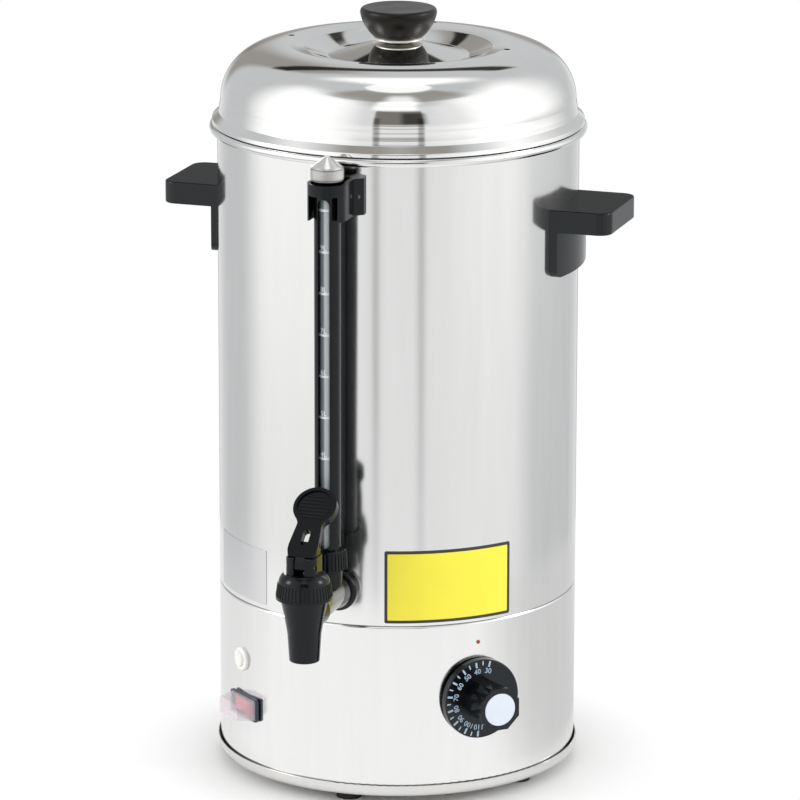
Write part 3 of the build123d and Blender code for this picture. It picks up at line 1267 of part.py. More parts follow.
def lid_ferrule():
    plate = rod(FERRULE_R, FERRULE_LOW_H, KNOB_LOW_H)
    plate = chamfer(plate.edges().filter_by(GeomType.CIRCLE).sort_by(Axis.Z)[-1], FERRULE_EDGE)
    return plate - rod(KNOB_SCREW_R + SEAT, FERRULE_LOW_H - PAST, KNOB_LOW_H + PAST)


def lid_knob():
    """A bowl-shaped knob: a narrow foot, a flank that swells outward and a nearly flat top."""
    low = KNOB_LOW_H
    brow = low + KNOB_FLANK_H
    high = brow + KNOB_BROW_H
    swell_r = KNOB_BASE_R + (KNOB_R - KNOB_BASE_R) * KNOB_SWELL
    flank = ThreePointArc((KNOB_BASE_R, low), (swell_r, low + KNOB_FLANK_H * KNOB_SWELL_AT), (KNOB_R, brow))
    rest = Polyline((KNOB_R, brow), (KNOB_R - KNOB_BROW_LEAN, high), (0, high), (0, low), (KNOB_BASE_R, low))
    knob = turned(make_face(flank.edges() + rest.edges()))
    brim = knob.edges().filter_by(GeomType.CIRCLE).sort_by(Axis.Z)[-1]
    knob = fillet(brim, KNOB_EDGE)
    return knob - rod(KNOB_SCREW_R + THREAD_FIT, low - PAST, low + KNOB_SCREW_DEPTH)


def knob_washer():
    high = FERRULE_LOW_H - LID_SHEET
    return ring(KNOB_WASHER_R, KNOB_SCREW_R + SEAT, high - KNOB_WASHER_T, high)


def knob_screw():
    seat = FERRULE_LOW_H - LID_SHEET - KNOB_WASHER_T
    length = KNOB_LOW_H + KNOB_SCREW_DEPTH - CLEAR - seat
    return Pos(0, 0, seat) * pan_screw(KNOB_SCREW_R, KNOB_SCREW_HEAD_R, KNOB_SCREW_HEAD_H, length)


# ---------------------------------------------------------------- handles
def handle_screw_places(azimuth):
    height = HANDLE_TOP_H - HANDLE_THICKNESS / 2
    places = []
    for side in (-1, 1):
        x = side * HANDLE_SCREW_SPACING / 2
        places.append(on_wall(azimuth, height) * Pos(x, 0, 0))
    return places


def handle(azimuth):
    """A shelf grip with a plate that lies on the wall below it."""
    low = HANDLE_TOP_H - HANDLE_THICKNESS
    middle = HANDLE_TOP_H - HANDLE_THICKNESS / 2
    start = SHELL_R - HANDLE_HALF_WIDTH / 2
    length = HANDLE_REACH - start
    shelf_plan = Pos(0, -start - length / 2, low) * Rectangle(2 * HANDLE_HALF_WIDTH, length)
    shelf = extrude(shelf_plan, HANDLE_THICKNESS)
    corners = shelf.edges().filter_by(Axis.Z).sort_by(Axis.Y)[:2]
    shelf = fillet(corners, HANDLE_CORNER_R)
    rims = [e for e in shelf.edges() if e.center().Y < -start - PAST and abs(e.tangent_at(0.5).Z) < 0.5]
    shelf = fillet(rims, HANDLE_EDGE)
    plate_h = HANDLE_PLATE_H - HANDLE_THICKNESS / 2
    face = RectangleRounded(2 * HANDLE_HALF_WIDTH, 2 * plate_h, HANDLE_PLATE_CORNER_R)
    plate = on_wall(0, middle) * extrude(Pos(0, 0, start) * face, length)
    plate &= rod(SHELL_R + HANDLE_PLATE_T, middle - plate_h - PAST, middle)
    grip = shelf + plate - WALL
    grip = Rot(0, 0, azimuth) * grip
    for place in handle_screw_places(azimuth):
        grip -= place * rod(HANDLE_SCREW_R + THREAD_FIT, start, SHELL_R + HANDLE_SCREW_DEPTH)
    return grip


def handle_screw_seat():
    """How far from the axis a sealing washer's flat inner face lies."""
    edge = HANDLE_SCREW_SPACING / 2 + HANDLE_SEAL_R
    return math.sqrt((SHELL_IN - SEAT) ** 2 - edge**2) - HANDLE_SEAL_T


def handle_screws():
    seat = handle_screw_seat()
    screws = []
    for azimuth in (-90, 90):
        for place in handle_screw_places(azimuth):
            length = SHELL_R + HANDLE_SCREW_DEPTH - HANDLE_SCREW_END - seat
            screw = pan_screw(HANDLE_SCREW_R, HANDLE_SCREW_HEAD_R, HANDLE_SCREW_HEAD_H, length)
            screws.append(place * Pos(0, 0, seat) * screw)
    return screws


def handle_seals():
    seat = handle_screw_seat()
    seals = []
    for azimuth in (-90, 90):
        for place in handle_screw_places(azimuth):
            seal = place * ring(HANDLE_SEAL_R, HANDLE_SCREW_R + SEAT, seat, SHELL_R)
            seals.append(seal & INNER_WALL)
    return seals


# ---------------------------------------------------------------- the urn
def build():
    write("rubber_feet", *[place * rubber_foot() for place in foot_places()])
    write("foot_screws", *[place * foot_screw() for place in foot_places()])
    write("pan_brackets", *around(FOOT_COUNT, pan_bracket()))
    write("base_pan", base_pan())
    write("base_skirt", base_skirt())
    write("tank_wall", tank_wall())
    write("tank_bottom", tank_bottom())

    write("heat_spreader", heat_spreader())
    write("heating_element", heating_element())
    write("element_clamp", element_clamp())
    write("clamp_stud", clamp_stud())
    write("clamp_nut", clamp_nut())
    thermostat_inner = THERMOSTAT_FACE - THERMOSTAT_DEPTH - CAPSULE_DEPTH
    write("thermostat_bulb", sensing_bulb(THERMOSTAT_BULB_Y, DIAL_AZIMUTH, DIAL_H, thermostat_inner))
    limiter_inner = LIMITER_FACE - LIMITER_DEPTH
    write("limiter_bulb", sensing_bulb(LIMITER_BULB_Y, RESET_AZIMUTH, RESET_H, limiter_inner))

    write("thermostat_body", thermostat_body())
    write("thermostat_screws", *thermostat_screws())
    write("dial_shaft", dial_shaft())
    write("dial_knob", dial_knob())
    write("dial_insert", dial_insert())

    write("switch_housing", switch_housing())
    write("rocker_pin", rocker_pin())
    write("switch_rocker", switch_rocker())
    write("splash_cover", splash_cover())
    write("reset_bezel", reset_bezel())
    write("reset_button", reset_button())
    write("limiter_body", limiter_body())

    write("cable_gland", cable_gland())
    write("gland_nut", gland_nut())
    write("terminal_block", terminal_block())
    write("earth_stud", earth_stud())

    write("tap_shank", tap_shank())
    write("wall_flange", wall_flange())
    write("shank_seals", *shank_seals())
    write("shank_nut", shank_nut())
    write("tap_body", tap_body())
    write("tap_bonnet", tap_bonnet())
    write("lever_pin", lever_pin())
    write("tap_lever", tap_lever())
    write("seat_cup", seat_cup())
    write("valve_stem", valve_stem())
    write("valve_spring", valve_spring())

    write("gauge_socket", gauge_socket())
    write("gauge_lower_nut", gauge_lower_nut())
    write("gauge_glass", gauge_glass())
    write("gauge_shield", gauge_shield())
    write("gauge_seals", *gauge_seals())
    write("gauge_bracket", gauge_bracket())
    write("gauge_vent_bush", gauge_vent_bush())
    write("gauge_cap_nut", gauge_cap_nut())
    write("bracket_screws", *bracket_screws())

    write("lid_shell", lid_shell())
    write("lid_ring", lid_ring())
    write("lid_ferrule", lid_ferrule())
    write("lid_knob", lid_knob())
    write("knob_washer", knob_washer())
    write("knob_screw", knob_screw())

    write("handle_left", handle(-90))
    write("handle_right", handle(90))
    write("handle_screws", *handle_screws())
    write("handle_seals", *handle_seals())


build()
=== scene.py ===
import math

import bmesh
import bpy
from mathutils import Matrix, Vector


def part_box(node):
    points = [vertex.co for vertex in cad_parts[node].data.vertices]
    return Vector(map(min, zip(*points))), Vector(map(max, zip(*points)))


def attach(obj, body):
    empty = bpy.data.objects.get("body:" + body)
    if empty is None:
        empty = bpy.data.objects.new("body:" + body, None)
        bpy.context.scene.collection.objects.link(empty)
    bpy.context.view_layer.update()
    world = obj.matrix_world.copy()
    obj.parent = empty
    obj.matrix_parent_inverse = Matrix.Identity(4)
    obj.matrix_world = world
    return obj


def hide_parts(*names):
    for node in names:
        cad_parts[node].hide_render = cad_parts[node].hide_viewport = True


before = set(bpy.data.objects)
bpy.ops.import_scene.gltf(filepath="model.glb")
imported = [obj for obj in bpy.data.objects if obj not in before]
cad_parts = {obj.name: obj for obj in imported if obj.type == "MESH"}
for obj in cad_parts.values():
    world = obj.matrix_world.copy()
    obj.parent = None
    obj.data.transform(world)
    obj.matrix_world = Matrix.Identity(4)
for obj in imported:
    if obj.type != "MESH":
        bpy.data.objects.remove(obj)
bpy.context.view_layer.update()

MM = 0.001

# ---------------------------------------------------------------- places on the urn: millimetres, degrees
FEET = 7.0
SHELL_R = 112.2
GLASS_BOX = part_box("gauge_glass")
GAUGE_REACH = -(GLASS_BOX[0].y + GLASS_BOX[1].y) / 2 / MM
GLASS_R = (GLASS_BOX[1].x - GLASS_BOX[0].x) / 2 / MM
DIAL_AZIMUTH = 44.8
DIAL_H = 61.6 + FEET
DIAL_FACE = SHELL_R + 5.7
CAP_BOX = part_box("gauge_cap_nut")
CAP_R = (CAP_BOX[1].x - CAP_BOX[0].x) / 2 / MM
CAP_LOW_H = CAP_BOX[0].z / MM


def direction(azimuth, elevation=0.0):
    """A unit vector; azimuth turns from the tap's side of the urn towards the right handle."""
    a, e = math.radians(azimuth), math.radians(elevation)
    return Vector((math.sin(a) * math.cos(e), -math.cos(a) * math.cos(e), math.sin(e)))


def wall_matrix(azimuth, height, out=0.0):
    """A frame on the wall: x to the right, y up, z outward; out is its distance from the axis."""
    a = math.radians(azimuth)
    right = Vector((math.cos(a), math.sin(a), 0))
    normal = direction(azimuth)
    up = Vector((0, 0, 1))
    m = Matrix((right, up, normal)).transposed().to_4x4()
    m.translation = (normal * out + Vector((0, 0, height))) * MM
    return m


# ---------------------------------------------------------------- node helpers
NOISE_LOW = 0.3
NOISE_HIGH = 0.7
BUMP_DEPTH = 0.2 * MM


def new_material(name):
    mat = bpy.data.materials.new(name)
    mat.use_nodes = True
    nodes = mat.node_tree.nodes
    return mat, nodes, mat.node_tree.links, nodes["Principled BSDF"]


def math_node(nodes, links, operation, *inputs):
    """A Math node; each input is a socket or a number."""
    node = nodes.new("ShaderNodeMath")
    node.operation = operation
    for socket, given in zip(node.inputs, inputs):
        if isinstance(given, (int, float)):
            socket.default_value = given
        else:
            links.new(given, socket)
    return node.outputs["Value"]


def vector_node(nodes, links, operation, source, other=None):
    """A Vector Math node on a socket and, where it takes one, a fixed second vector."""
    node = nodes.new("ShaderNodeVectorMath")
    node.operation = operation
    links.new(source, node.inputs[0])
    if other is not None:
        node.inputs[1].default_value = other
    return node.outputs["Value" if operation in ("LENGTH", "DOT_PRODUCT") else "Vector"]


def map_range(nodes, links, source, start, end, low=0.0, high=1.0, eased=False):
    """Maps start to low and end to high, and holds the value beyond them."""
    m = nodes.new("ShaderNodeMapRange")
    if eased:
        m.interpolation_type = "SMOOTHSTEP"
    m.inputs["From Min"].default_value = start
    m.inputs["From Max"].default_value = end
    m.inputs["To Min"].default_value = low
    m.inputs["To Max"].default_value = high
    links.new(source, m.inputs["Value"])
    return m.outputs["Result"]


def mapped_noise(nodes, links, scale, stretch=(1, 1, 1), detail=2):
    """Noise in object space, stretched along an axis."""
    where = nodes.new("ShaderNodeTexCoord")
    mapping = nodes.new("ShaderNodeMapping")
    mapping.inputs["Scale"].default_value = stretch
    noise = nodes.new("ShaderNodeTexNoise")
    noise.inputs["Scale"].default_value = scale
    noise.inputs["Detail"].default_value = detail
    links.new(where.outputs["Object"], mapping.inputs["Vector"])
    links.new(mapping.outputs["Vector"], noise.inputs["Vector"])
    return noise.outputs["Fac"]


def color_ramp(nodes, links, source, stops):
    """Maps a grey value onto colours; stops are (position, colour)."""
    r = nodes.new("ShaderNodeValToRGB")
    while len(r.color_ramp.elements) < len(stops):
        r.color_ramp.elements.new(0.5)
    for element, (at, color) in zip(r.color_ramp.elements, stops):
        element.position = at
        element.color = (*color, 1)
    links.new(source, r.inputs["Fac"])
    return r.outputs["Color"]


def mottle(nodes, links, shader, noise, color, vary, roughness, spread):
    """Lets noise darken the colour by a share and raise the roughness by a spread."""
    low = [c * (1 - vary) for c in color]
    stops = ((NOISE_LOW, low), (NOISE_HIGH, color))
    links.new(color_ramp(nodes, links, noise, stops), shader.inputs["Base Color"])
    gloss = map_range(nodes, links, noise, NOISE_LOW, NOISE_HIGH, roughness, roughness + spread)
    links.new(gloss, shader.inputs["Roughness"])


def bump(nodes, links, shader, height, strength):
    b = nodes.new("ShaderNodeBump")
    b.inputs["Strength"].default_value = strength
    b.inputs["Distance"].default_value = BUMP_DEPTH
    links.new(height, b.inputs["Height"])
    links.new(b.outputs["Normal"], shader.inputs["Normal"])


# ---------------------------------------------------------------- kinds of material
METAL_VARY = 0.03
WAVE_SCALE = 0.35
WAVE_STRETCH = (1, 1, 0.35)
SKIN_SCALE = 900.0
BROAD_SCALE = 60
TOP_START = 0.55
TOP_FULL = 0.95
CLEAR_VARY = 0.08
CLEAR_SCALE = 80
CLEAR_SPREAD = 0.05
CLEAR_IOR = 1.45
TUBE_ROUGHNESS = (0.08, 0.14)


def metal(name, color, roughness, spread, grain=(1, 1, 12), scale=30.0, bump_strength=0.02):
    """A bare metal with a faint rolled grain in its gloss and its surface."""
    mat, nodes, links, shader = new_material(name)
    shader.inputs["Metallic"].default_value = 1.0
    noise = mapped_noise(nodes, links, scale, grain, detail=4)
    mottle(nodes, links, shader, noise, color, METAL_VARY, roughness, spread)
    waves = mapped_noise(nodes, links, scale * WAVE_SCALE, WAVE_STRETCH, detail=1)
    bump(nodes, links, shader, waves, bump_strength)
    return mat


def sheet_steel(name):
    """The polished sheet of the tank and the skirt, with its grain upright."""
    return metal(name, (0.86, 0.86, 0.855), 0.12, 0.03, grain=(1, 1, 0.08), scale=120)


def darken_by_radius(mat, inner, outer, dark):
    """Paints shade on a metal near its object's axis: darkest up to the inner radius, none past the outer
    one.
    """
    nodes, links = mat.node_tree.nodes, mat.node_tree.links
    shader = nodes["Principled BSDF"]
    plain = shader.inputs["Base Color"].links[0].from_socket
    where = nodes.new("ShaderNodeTexCoord")
    flat = vector_node(nodes, links, "MULTIPLY", where.outputs["Object"], (1, 1, 0))
    far = vector_node(nodes, links, "LENGTH", flat)
    mix = nodes.new("ShaderNodeMix")
    mix.data_type = "RGBA"
    mix.blend_type = "MULTIPLY"
    mix.inputs["Factor"].default_value = 1.0
    links.new(plain, mix.inputs["A"])
    links.new(map_range(nodes, links, far, inner * MM, outer * MM, dark), mix.inputs["B"])
    links.new(mix.outputs["Result"], shader.inputs["Base Color"])


def plastic(name, color, roughness, spread=0.05, specular=0.5, texture=0.02, vary=0.15, sheen=(1, 1, 1)):
    """A moulded plastic: near-even colour, with a fine skin that breaks up the gloss."""
    mat, nodes, links, shader = new_material(name)
    broad = mapped_noise(nodes, links, BROAD_SCALE)
    mottle(nodes, links, shader, broad, color, vary, roughness, spread)
    shader.inputs["Specular IOR Level"].default_value = specular
    shader.inputs["Specular Tint"].default_value = (*sheen, 1)
    bump(nodes, links, shader, mapped_noise(nodes, links, SKIN_SCALE), texture)
    return mat


def matt_top(mat, specular):
    """Lowers a plastic's sheen on its upward faces: painted shade that makes their tops darker."""
    nodes, links = mat.node_tree.nodes, mat.node_tree.links
    gloss = nodes["Principled BSDF"].inputs["Specular IOR Level"]
    where = nodes.new("ShaderNodeTexCoord")
    parts = nodes.new("ShaderNodeSeparateXYZ")
    links.new(where.outputs["Normal"], parts.inputs[0])
    sheen = map_range(nodes, links, parts.outputs["Z"], TOP_START, TOP_FULL, gloss.default_value, specular)
    links.new(sheen, gloss)


def clear_plastic(name, color, roughness, alpha):
    """A thin clear plastic: mostly see-through, with a film of gloss."""
    mat, nodes, links, shader = new_material(name)
    noise = mapped_noise(nodes, links, CLEAR_SCALE)
    mottle(nodes, links, shader, noise, color, CLEAR_VARY, roughness, CLEAR_SPREAD)
    shader.inputs["Alpha"].default_value = alpha
    shader.inputs["IOR"].default_value = CLEAR_IOR
    return mat


def tube_material(name, tones, alpha):
    """A clear tube coloured across its width: grey-blue tones, darkened on one side by painted shade, and
    a pale stripe of painted highlight, as its wall shows from the front.
    """
    mat, nodes, links, shader = new_material(name)
    where = nodes.new("ShaderNodeTexCoord")
    split = nodes.new("ShaderNodeSeparateXYZ")
    links.new(where.outputs["Object"], split.inputs["Vector"])
    across = map_range(nodes, links, split.outputs["X"], -GLASS_R * MM, GLASS_R * MM)
    links.new(color_ramp(nodes, links, across, tones), shader.inputs["Base Color"])
    noise = mapped_noise(nodes, links, BROAD_SCALE)
    gloss = map_range(nodes, links, noise, NOISE_LOW, NOISE_HIGH, *TUBE_ROUGHNESS)
    links.new(gloss, shader.inputs["Roughness"])
    shader.inputs["Alpha"].default_value = alpha
    return mat


# ---------------------------------------------------------------- materials
COOL = (0.86, 0.94, 1.0)
WARM = (1, 0.96, 0.88)
SHEET_GRAIN = (1, 1, 0.2)
# Colours across the gauge tube from its -x side to its +x side: grey-blue with painted shade, then a pale
# stripe of painted highlight.
TUBE_PAINTED_SHADING = (
    (0.10, (0.10, 0.13, 0.15)),
    (0.28, (0.22, 0.28, 0.32)),
    (0.42, (0.17, 0.18, 0.21)),
    (0.50, (0.50, 0.56, 0.57)),
    (0.70, (0.60, 0.65, 0.66)),
)

STEEL = sheet_steel("polished_steel")
LID_STEEL = metal("lid_steel", (0.87, 0.87, 0.865), 0.05, 0.02, grain=(1, 1, 6), scale=60)
SKIRT_STEEL = sheet_steel("skirt_steel")
# Painted shade: the skirt's steel turns darker where it lies inside the wall's line, in its recesses.
darken_by_radius(SKIRT_STEEL, SHELL_R - 0.6, SHELL_R - 0.25, 0.22)
KNURL_METAL = metal("knurl_metal", (0.84, 0.835, 0.82), 0.2, 0.08, scale=200)
# Painted shade: the knurl's metal turns darker towards the cap, in the valleys between its peaks.
darken_by_radius(KNURL_METAL, CAP_R + 0.03, CAP_R + 0.2, 0.06)
PAN_STEEL = metal("pan_steel", (0.74, 0.735, 0.72), 0.14, 0.05, SHEET_GRAIN, 90, bump_strength=0.03)
FERRULE = metal("ferrule_metal", (0.92, 0.88, 0.82), 0.34, 0.08, scale=150)
PLAIN_STEEL = metal("plain_steel", (0.62, 0.62, 0.62), 0.22, 0.12, scale=200)
TAP_METAL = metal("tap_metal", (0.40, 0.395, 0.385), 0.14, 0.1, scale=150)
BRIGHT_METAL = metal("cap_metal", (0.80, 0.795, 0.78), 0.16, 0.08, scale=200)
ALUMINIUM = metal("spreader_metal", (0.72, 0.72, 0.72), 0.35, 0.15, scale=90)
ELEMENT = metal("element_metal", (0.24, 0.23, 0.22), 0.35, 0.2, scale=90)
COPPER = metal("copper", (0.72, 0.40, 0.26), 0.25, 0.15, scale=120)
FOIL = metal("foil_plate", (0.72, 0.72, 0.73), 0.28, 0.12, SHEET_GRAIN, 90, bump_strength=0.15)
HANDLE_BLACK = plastic("handle_black", (0.0032, 0.0033, 0.0038), 0.10, specular=0.46, sheen=COOL)
# Painted shade: the handles' upward faces lose most of their sheen, so their tops look darker.
matt_top(HANDLE_BLACK, 0.012)
BLACK = plastic("gloss_black", (0.0035, 0.0036, 0.0040), 0.10, specular=0.30, sheen=COOL)
DIAL_BLACK = plastic("dial_black", (0.0042, 0.0046, 0.0054), 0.14, 0.06, specular=0.42, sheen=COOL)
SATIN = plastic("satin_black", (0.0045, 0.0040, 0.0032), 0.26, 0.08, 0.30, texture=0.05, sheen=WARM)
WHITE = plastic("white_plastic", (0.72, 0.78, 0.88), 0.3, vary=0.03)
IVORY = plastic("ivory_plastic", (0.82, 0.81, 0.78), 0.35, 0.08, vary=0.04)
RED = plastic("red_plastic", (0.86, 0.10, 0.16), 0.28, vary=0.06)
BROWN = plastic("control_body", (0.10, 0.06, 0.04), 0.5, 0.1)
RUBBER = plastic("black_rubber", (0.012, 0.012, 0.012), 0.7, 0.1, texture=0.15)
SILICONE = plastic("white_rubber", (0.72, 0.70, 0.66), 0.6, 0.1)
PLATE_YELLOW = plastic("plate_yellow", (0.96, 0.86, 0.06), 0.34, texture=0.01, vary=0.02)
PLATE_EDGE = plastic("plate_edge", (0.035, 0.032, 0.03), 0.34, 0.08, texture=0.01)
PRINT_RED = plastic("print_red", (0.42, 0.02, 0.02), 0.4, texture=0.01)
PRINT_WHITE = plastic("print_white", (0.90, 0.91, 0.92), 0.4, texture=0.01)
PRINT_BLUE = plastic("print_blue", (0.46, 0.62, 0.76), 0.4, texture=0.01)
CLEAR_TUBE = tube_material("clear_tube", TUBE_PAINTED_SHADING, 0.9)
CLEAR_COVER = clear_plastic("clear_cover", (0.90, 0.86, 0.91), 0.12, 0.30)
BEZEL = plastic("bezel_grey", (0.045, 0.055, 0.075), 0.25, 0.06)

NODE_MATERIAL = {
    STEEL: ("tank_wall", "tank_bottom"),
    SKIRT_STEEL: ("base_skirt",),
    PAN_STEEL: ("base_pan",),
    FERRULE: ("lid_ferrule",),
    LID_STEEL: ("lid_shell", "lid_ring"),
    PLAIN_STEEL: (
        "foot_screws", "pan_brackets", "element_clamp", "clamp_stud", "clamp_nut", "thermostat_screws",
        "dial_shaft", "rocker_pin", "earth_stud", "lever_pin", "valve_stem", "valve_spring",
        "bracket_screws", "knob_washer", "knob_screw", "handle_screws",
    ),
    TAP_METAL: ("tap_shank", "shank_nut"),
    BRIGHT_METAL: ("gauge_cap_nut",),
    ALUMINIUM: ("heat_spreader",),
    ELEMENT: ("heating_element",),
    COPPER: ("thermostat_bulb", "limiter_bulb"),
    BLACK: (
        "wall_flange", "tap_body", "tap_bonnet", "tap_lever", "gauge_socket", "gauge_lower_nut",
        "gauge_shield", "gauge_bracket", "gauge_vent_bush",
    ),
    HANDLE_BLACK: ("handle_left", "handle_right"),
    DIAL_BLACK: ("dial_knob",),
    SATIN: ("lid_knob", "cable_gland", "gland_nut"),
    BEZEL: ("switch_housing",),
    WHITE: ("dial_insert", "terminal_block"),
    IVORY: ("reset_bezel", "reset_button"),
    RED: ("switch_rocker",),
    BROWN: ("thermostat_body", "limiter_body"),
    RUBBER: ("rubber_feet",),
    SILICONE: ("shank_seals", "seat_cup", "gauge_seals", "handle_seals"),
    CLEAR_TUBE: ("gauge_glass",),
    CLEAR_COVER: ("splash_cover",),
}
CAD_EDGE_ANGLE = 32.0


def smooth(obj, angle):
    """Smooth shading that keeps edges sharper than the angle."""
    obj.data.shade_smooth()
    obj.data.set_sharp_from_angle(angle=math.radians(angle))


for material, names in NODE_MATERIAL.items():
    for node in names:
        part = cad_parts[node]
        part.data.materials.clear()
        part.data.materials.append(material)
        smooth(part, CAD_EDGE_ANGLE)


# ---------------------------------------------------------------- mesh helpers
NEAR_ROUND = 0.999  # a corner just under half the width keeps an outline's points apart
STROKE_GAIN = 0.012
STROKE_STEPS = 3


def add_object(name, mesh, material, body, matrix=None):
    """Adds a piece to the scene, and lets it ride on a body where one is given."""
    obj = bpy.data.objects.new(name, mesh)
    bpy.context.scene.collection.objects.link(obj)
    mesh.materials.clear()
    mesh.materials.append(material)
    if matrix is not None:
        obj.matrix_world = matrix
    if body is not None:
        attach(obj, body)
    return obj


def finish_mesh(name, bm):
    """A mesh in metres from a shape drawn in millimetres."""
    bmesh.ops.recalc_face_normals(bm, faces=bm.faces)
    mesh = bpy.data.meshes.new(name)
    bm.to_mesh(mesh)
    bm.free()
    mesh.transform(Matrix.Scale(MM, 4))
    return mesh


def close_loop(items):
    """Each item with the next one, and the last with the first."""
    return zip(items, items[1:] + items[:1])


def add_ring(bm, radii, height):
    """A ring of vertices round Z, evenly spaced, one at each of the radii."""
    ring = []
    for i, r in enumerate(radii):
        a = 2 * math.pi * i / len(radii)
        ring.append(bm.verts.new((r * math.cos(a), r * math.sin(a), height)))
    return ring


def skin_rings(bm, rings):
    """Quads between rings of as many vertices, with the last ring joined to the first."""
    for lower, upper in close_loop(rings):
        for (a, b), (c, d) in zip(close_loop(lower), close_loop(upper)):
            bm.faces.new((a, b, d, c))


def rounded_outline(width, tall, corner, steps=5):
    """The corners of a rounded rectangle, anticlockwise."""
    outline = []
    for cx, cy, start in ((1, 1, 0), (-1, 1, 90), (-1, -1, 180), (1, -1, 270)):
        for i in range(steps):
            a = math.radians(start + 90 * i / (steps - 1))
            x = cx * (width / 2 - corner) + corner * math.cos(a)
            y = cy * (tall / 2 - corner) + corner * math.sin(a)
            outline.append((x, y))
    return outline


def slab(bm, outline, low, high, at=(0, 0), turn=0.0):
    """A flat slab with this outline between two heights, turned and then moved in its own plane."""
    c, s = math.cos(turn), math.sin(turn)
    ring = [(x * c - y * s + at[0], x * s + y * c + at[1]) for x, y in outline]
    bottom = [bm.verts.new((x, y, low)) for x, y in ring]
    top = [bm.verts.new((x, y, high)) for x, y in ring]
    bm.faces.new(top)
    bm.faces.new(bottom[::-1])
    for (a, b), (c, d) in zip(close_loop(bottom), close_loop(top)):
        bm.faces.new((a, b, d, c))


def lettering(bm, text, size, thickness, at=(0, 0), turn=0.0):
    """Plain figures as thin raised solids, centred on a place in the plane."""
    curve = bpy.data.curves.new("figures", "FONT")
    curve.body = text
    curve.size = size
    curve.align_x = "CENTER"
    curve.align_y = "CENTER"
    curve.extrude = thickness / 2
    curve.offset = size * STROKE_GAIN
    curve.resolution_u = STROKE_STEPS
    holder = bpy.data.objects.new("figures", curve)
    mesh = bpy.data.meshes.new_from_object(holder)
    mesh.transform(Matrix.Translation((at[0], at[1], thickness / 2)) @ Matrix.Rotation(turn, 4, "Z"))
    bm.from_mesh(mesh)
    bpy.data.meshes.remove(mesh)
    bpy.data.objects.remove(holder)
    bpy.data.curves.remove(curve)


def wrapped(name, bm, radius, azimuth, height, centre=(0, 0), step=2.0):
    """Bends what lies flat in millimetres onto an upright cylinder; its z becomes the way out."""
    wide = max(abs(v.co.x) for v in bm.verts)
    cuts = max(2, int(2 * wide / step))
    for i in range(1, cuts):
        x = -wide + 2 * wide * i / cuts
        geom = bm.faces[:] + bm.edges[:] + bm.verts[:]
        bmesh.ops.bisect_plane(bm, geom=geom, plane_co=(x, 0, 0), plane_no=(1, 0, 0))
    for v in bm.verts:
        a = math.radians(azimuth) + v.co.x / radius
        r = radius + v.co.z
        v.co = Vector((centre[0] + r * math.sin(a), centre[1] - r * math.cos(a), height + v.co.y))
    return finish_mesh(name, bm)


def cut_out(obj, cutters):
    """Cuts solid meshes out of an object, one after the other."""
    for cutter in cutters:
        tool = bpy.data.objects.new("cutter", cutter)
        bpy.context.scene.collection.objects.link(tool)
        cut = obj.modifiers.new("cut", "BOOLEAN")
        cut.operation = "DIFFERENCE"
        cut.solver = "EXACT"
        cut.object = tool
        bpy.context.view_layer.update()
        result = bpy.data.meshes.new_from_object(obj.evaluated_get(bpy.context.evaluated_depsgraph_get()))
        obj.modifiers.clear()
        obj.data = result
        bpy.data.objects.remove(tool)
        bpy.data.meshes.remove(cutter)
    obj.data.name = obj.name


# ---------------------------------------------------------------- plates on the wall
PLATE_LIFT = 0.06
PLATE_T = 0.14
FACE_LIFT = PLATE_LIFT + 0.05
WARNING_AZIMUTHS = (14.4, 56.3)
WARNING_HEIGHTS = (112.0 + FEET, 158.0 + FEET)
WARNING_CORNER = 1.2
FACE_CORNER = 0.6
BORDER = 1.9
FOIL_AZIMUTHS = (-57.5, -27.7)
FOIL_HEIGHTS = (113.0 + FEET, 148.0 + FEET)
FOIL_CORNER = 1.0
PLATE_EDGE_ANGLE = 25


def wall_plate(name, azimuths, heights, corner, material, lift=PLATE_LIFT, inset=0.0):
    """A thin plate glued to the wall between two azimuths and two heights."""
    width = math.radians(azimuths[1] - azimuths[0]) * SHELL_R - 2 * inset
    tall = heights[1] - heights[0] - 2 * inset
    bm = bmesh.new()
    slab(bm, rounded_outline(width, tall, corner), lift, lift + PLATE_T)
    mesh = wrapped(name, bm, SHELL_R, sum(azimuths) / 2, sum(heights) / 2)
    smooth(add_object(name, mesh, material, "urn"), PLATE_EDGE_ANGLE)


wall_plate("warning_plate_edge", WARNING_AZIMUTHS, WARNING_HEIGHTS, WARNING_CORNER, PLATE_EDGE)
wall_plate(
    "warning_plate_face", WARNING_AZIMUTHS, WARNING_HEIGHTS, FACE_CORNER, PLATE_YELLOW, FACE_LIFT, BORDER,
)
wall_plate("foil_plate", FOIL_AZIMUTHS, FOIL_HEIGHTS, FOIL_CORNER, FOIL)


# ---------------------------------------------------------------- red dot over the dial
DOT_R = 1.25
DOT_H = 96.7 + FEET
DOT_LIFT = 0.06
DOT_T = 0.10


def wall_dot():
    """A small round print on the wall, straight over the dial's middle."""
    bm = bmesh.new()
    outline = rounded_outline(2 * DOT_R, 2 * DOT_R, DOT_R * NEAR_ROUND, steps=9)
    slab(bm, outline, DOT_LIFT, DOT_LIFT + DOT_T)
    return wrapped("dial_mark_on_wall", bm, SHELL_R, DIAL_AZIMUTH, DOT_H, step=0.6)


add_object("dial_mark_on_wall", wall_dot(), PRINT_RED, "urn")


# ---------------------------------------------------------------- scale of the dial
SCALE_START = -13.0
SCALE_END = 173.0
SCALE_FIRST = 30
SCALE_LAST = 110
SCALE_STEP = 10
TICK_OUT = 24.2
TICK_LONG = 3.7
TICK_SHORT = 2.7
TICK_WIDE = 1.25
TICK_NARROW = 0.85
TICK_CORNER = 0.15
FIGURE_R = 17.9
FIGURE_SIZE = 4.6
PRINT_T = 0.06
PRINT_LIFT = 0.03


def on_dial(radius, turn):
    """The place at this radius, turned anticlockwise from straight up."""
    return -radius * math.sin(turn), radius * math.cos(turn)


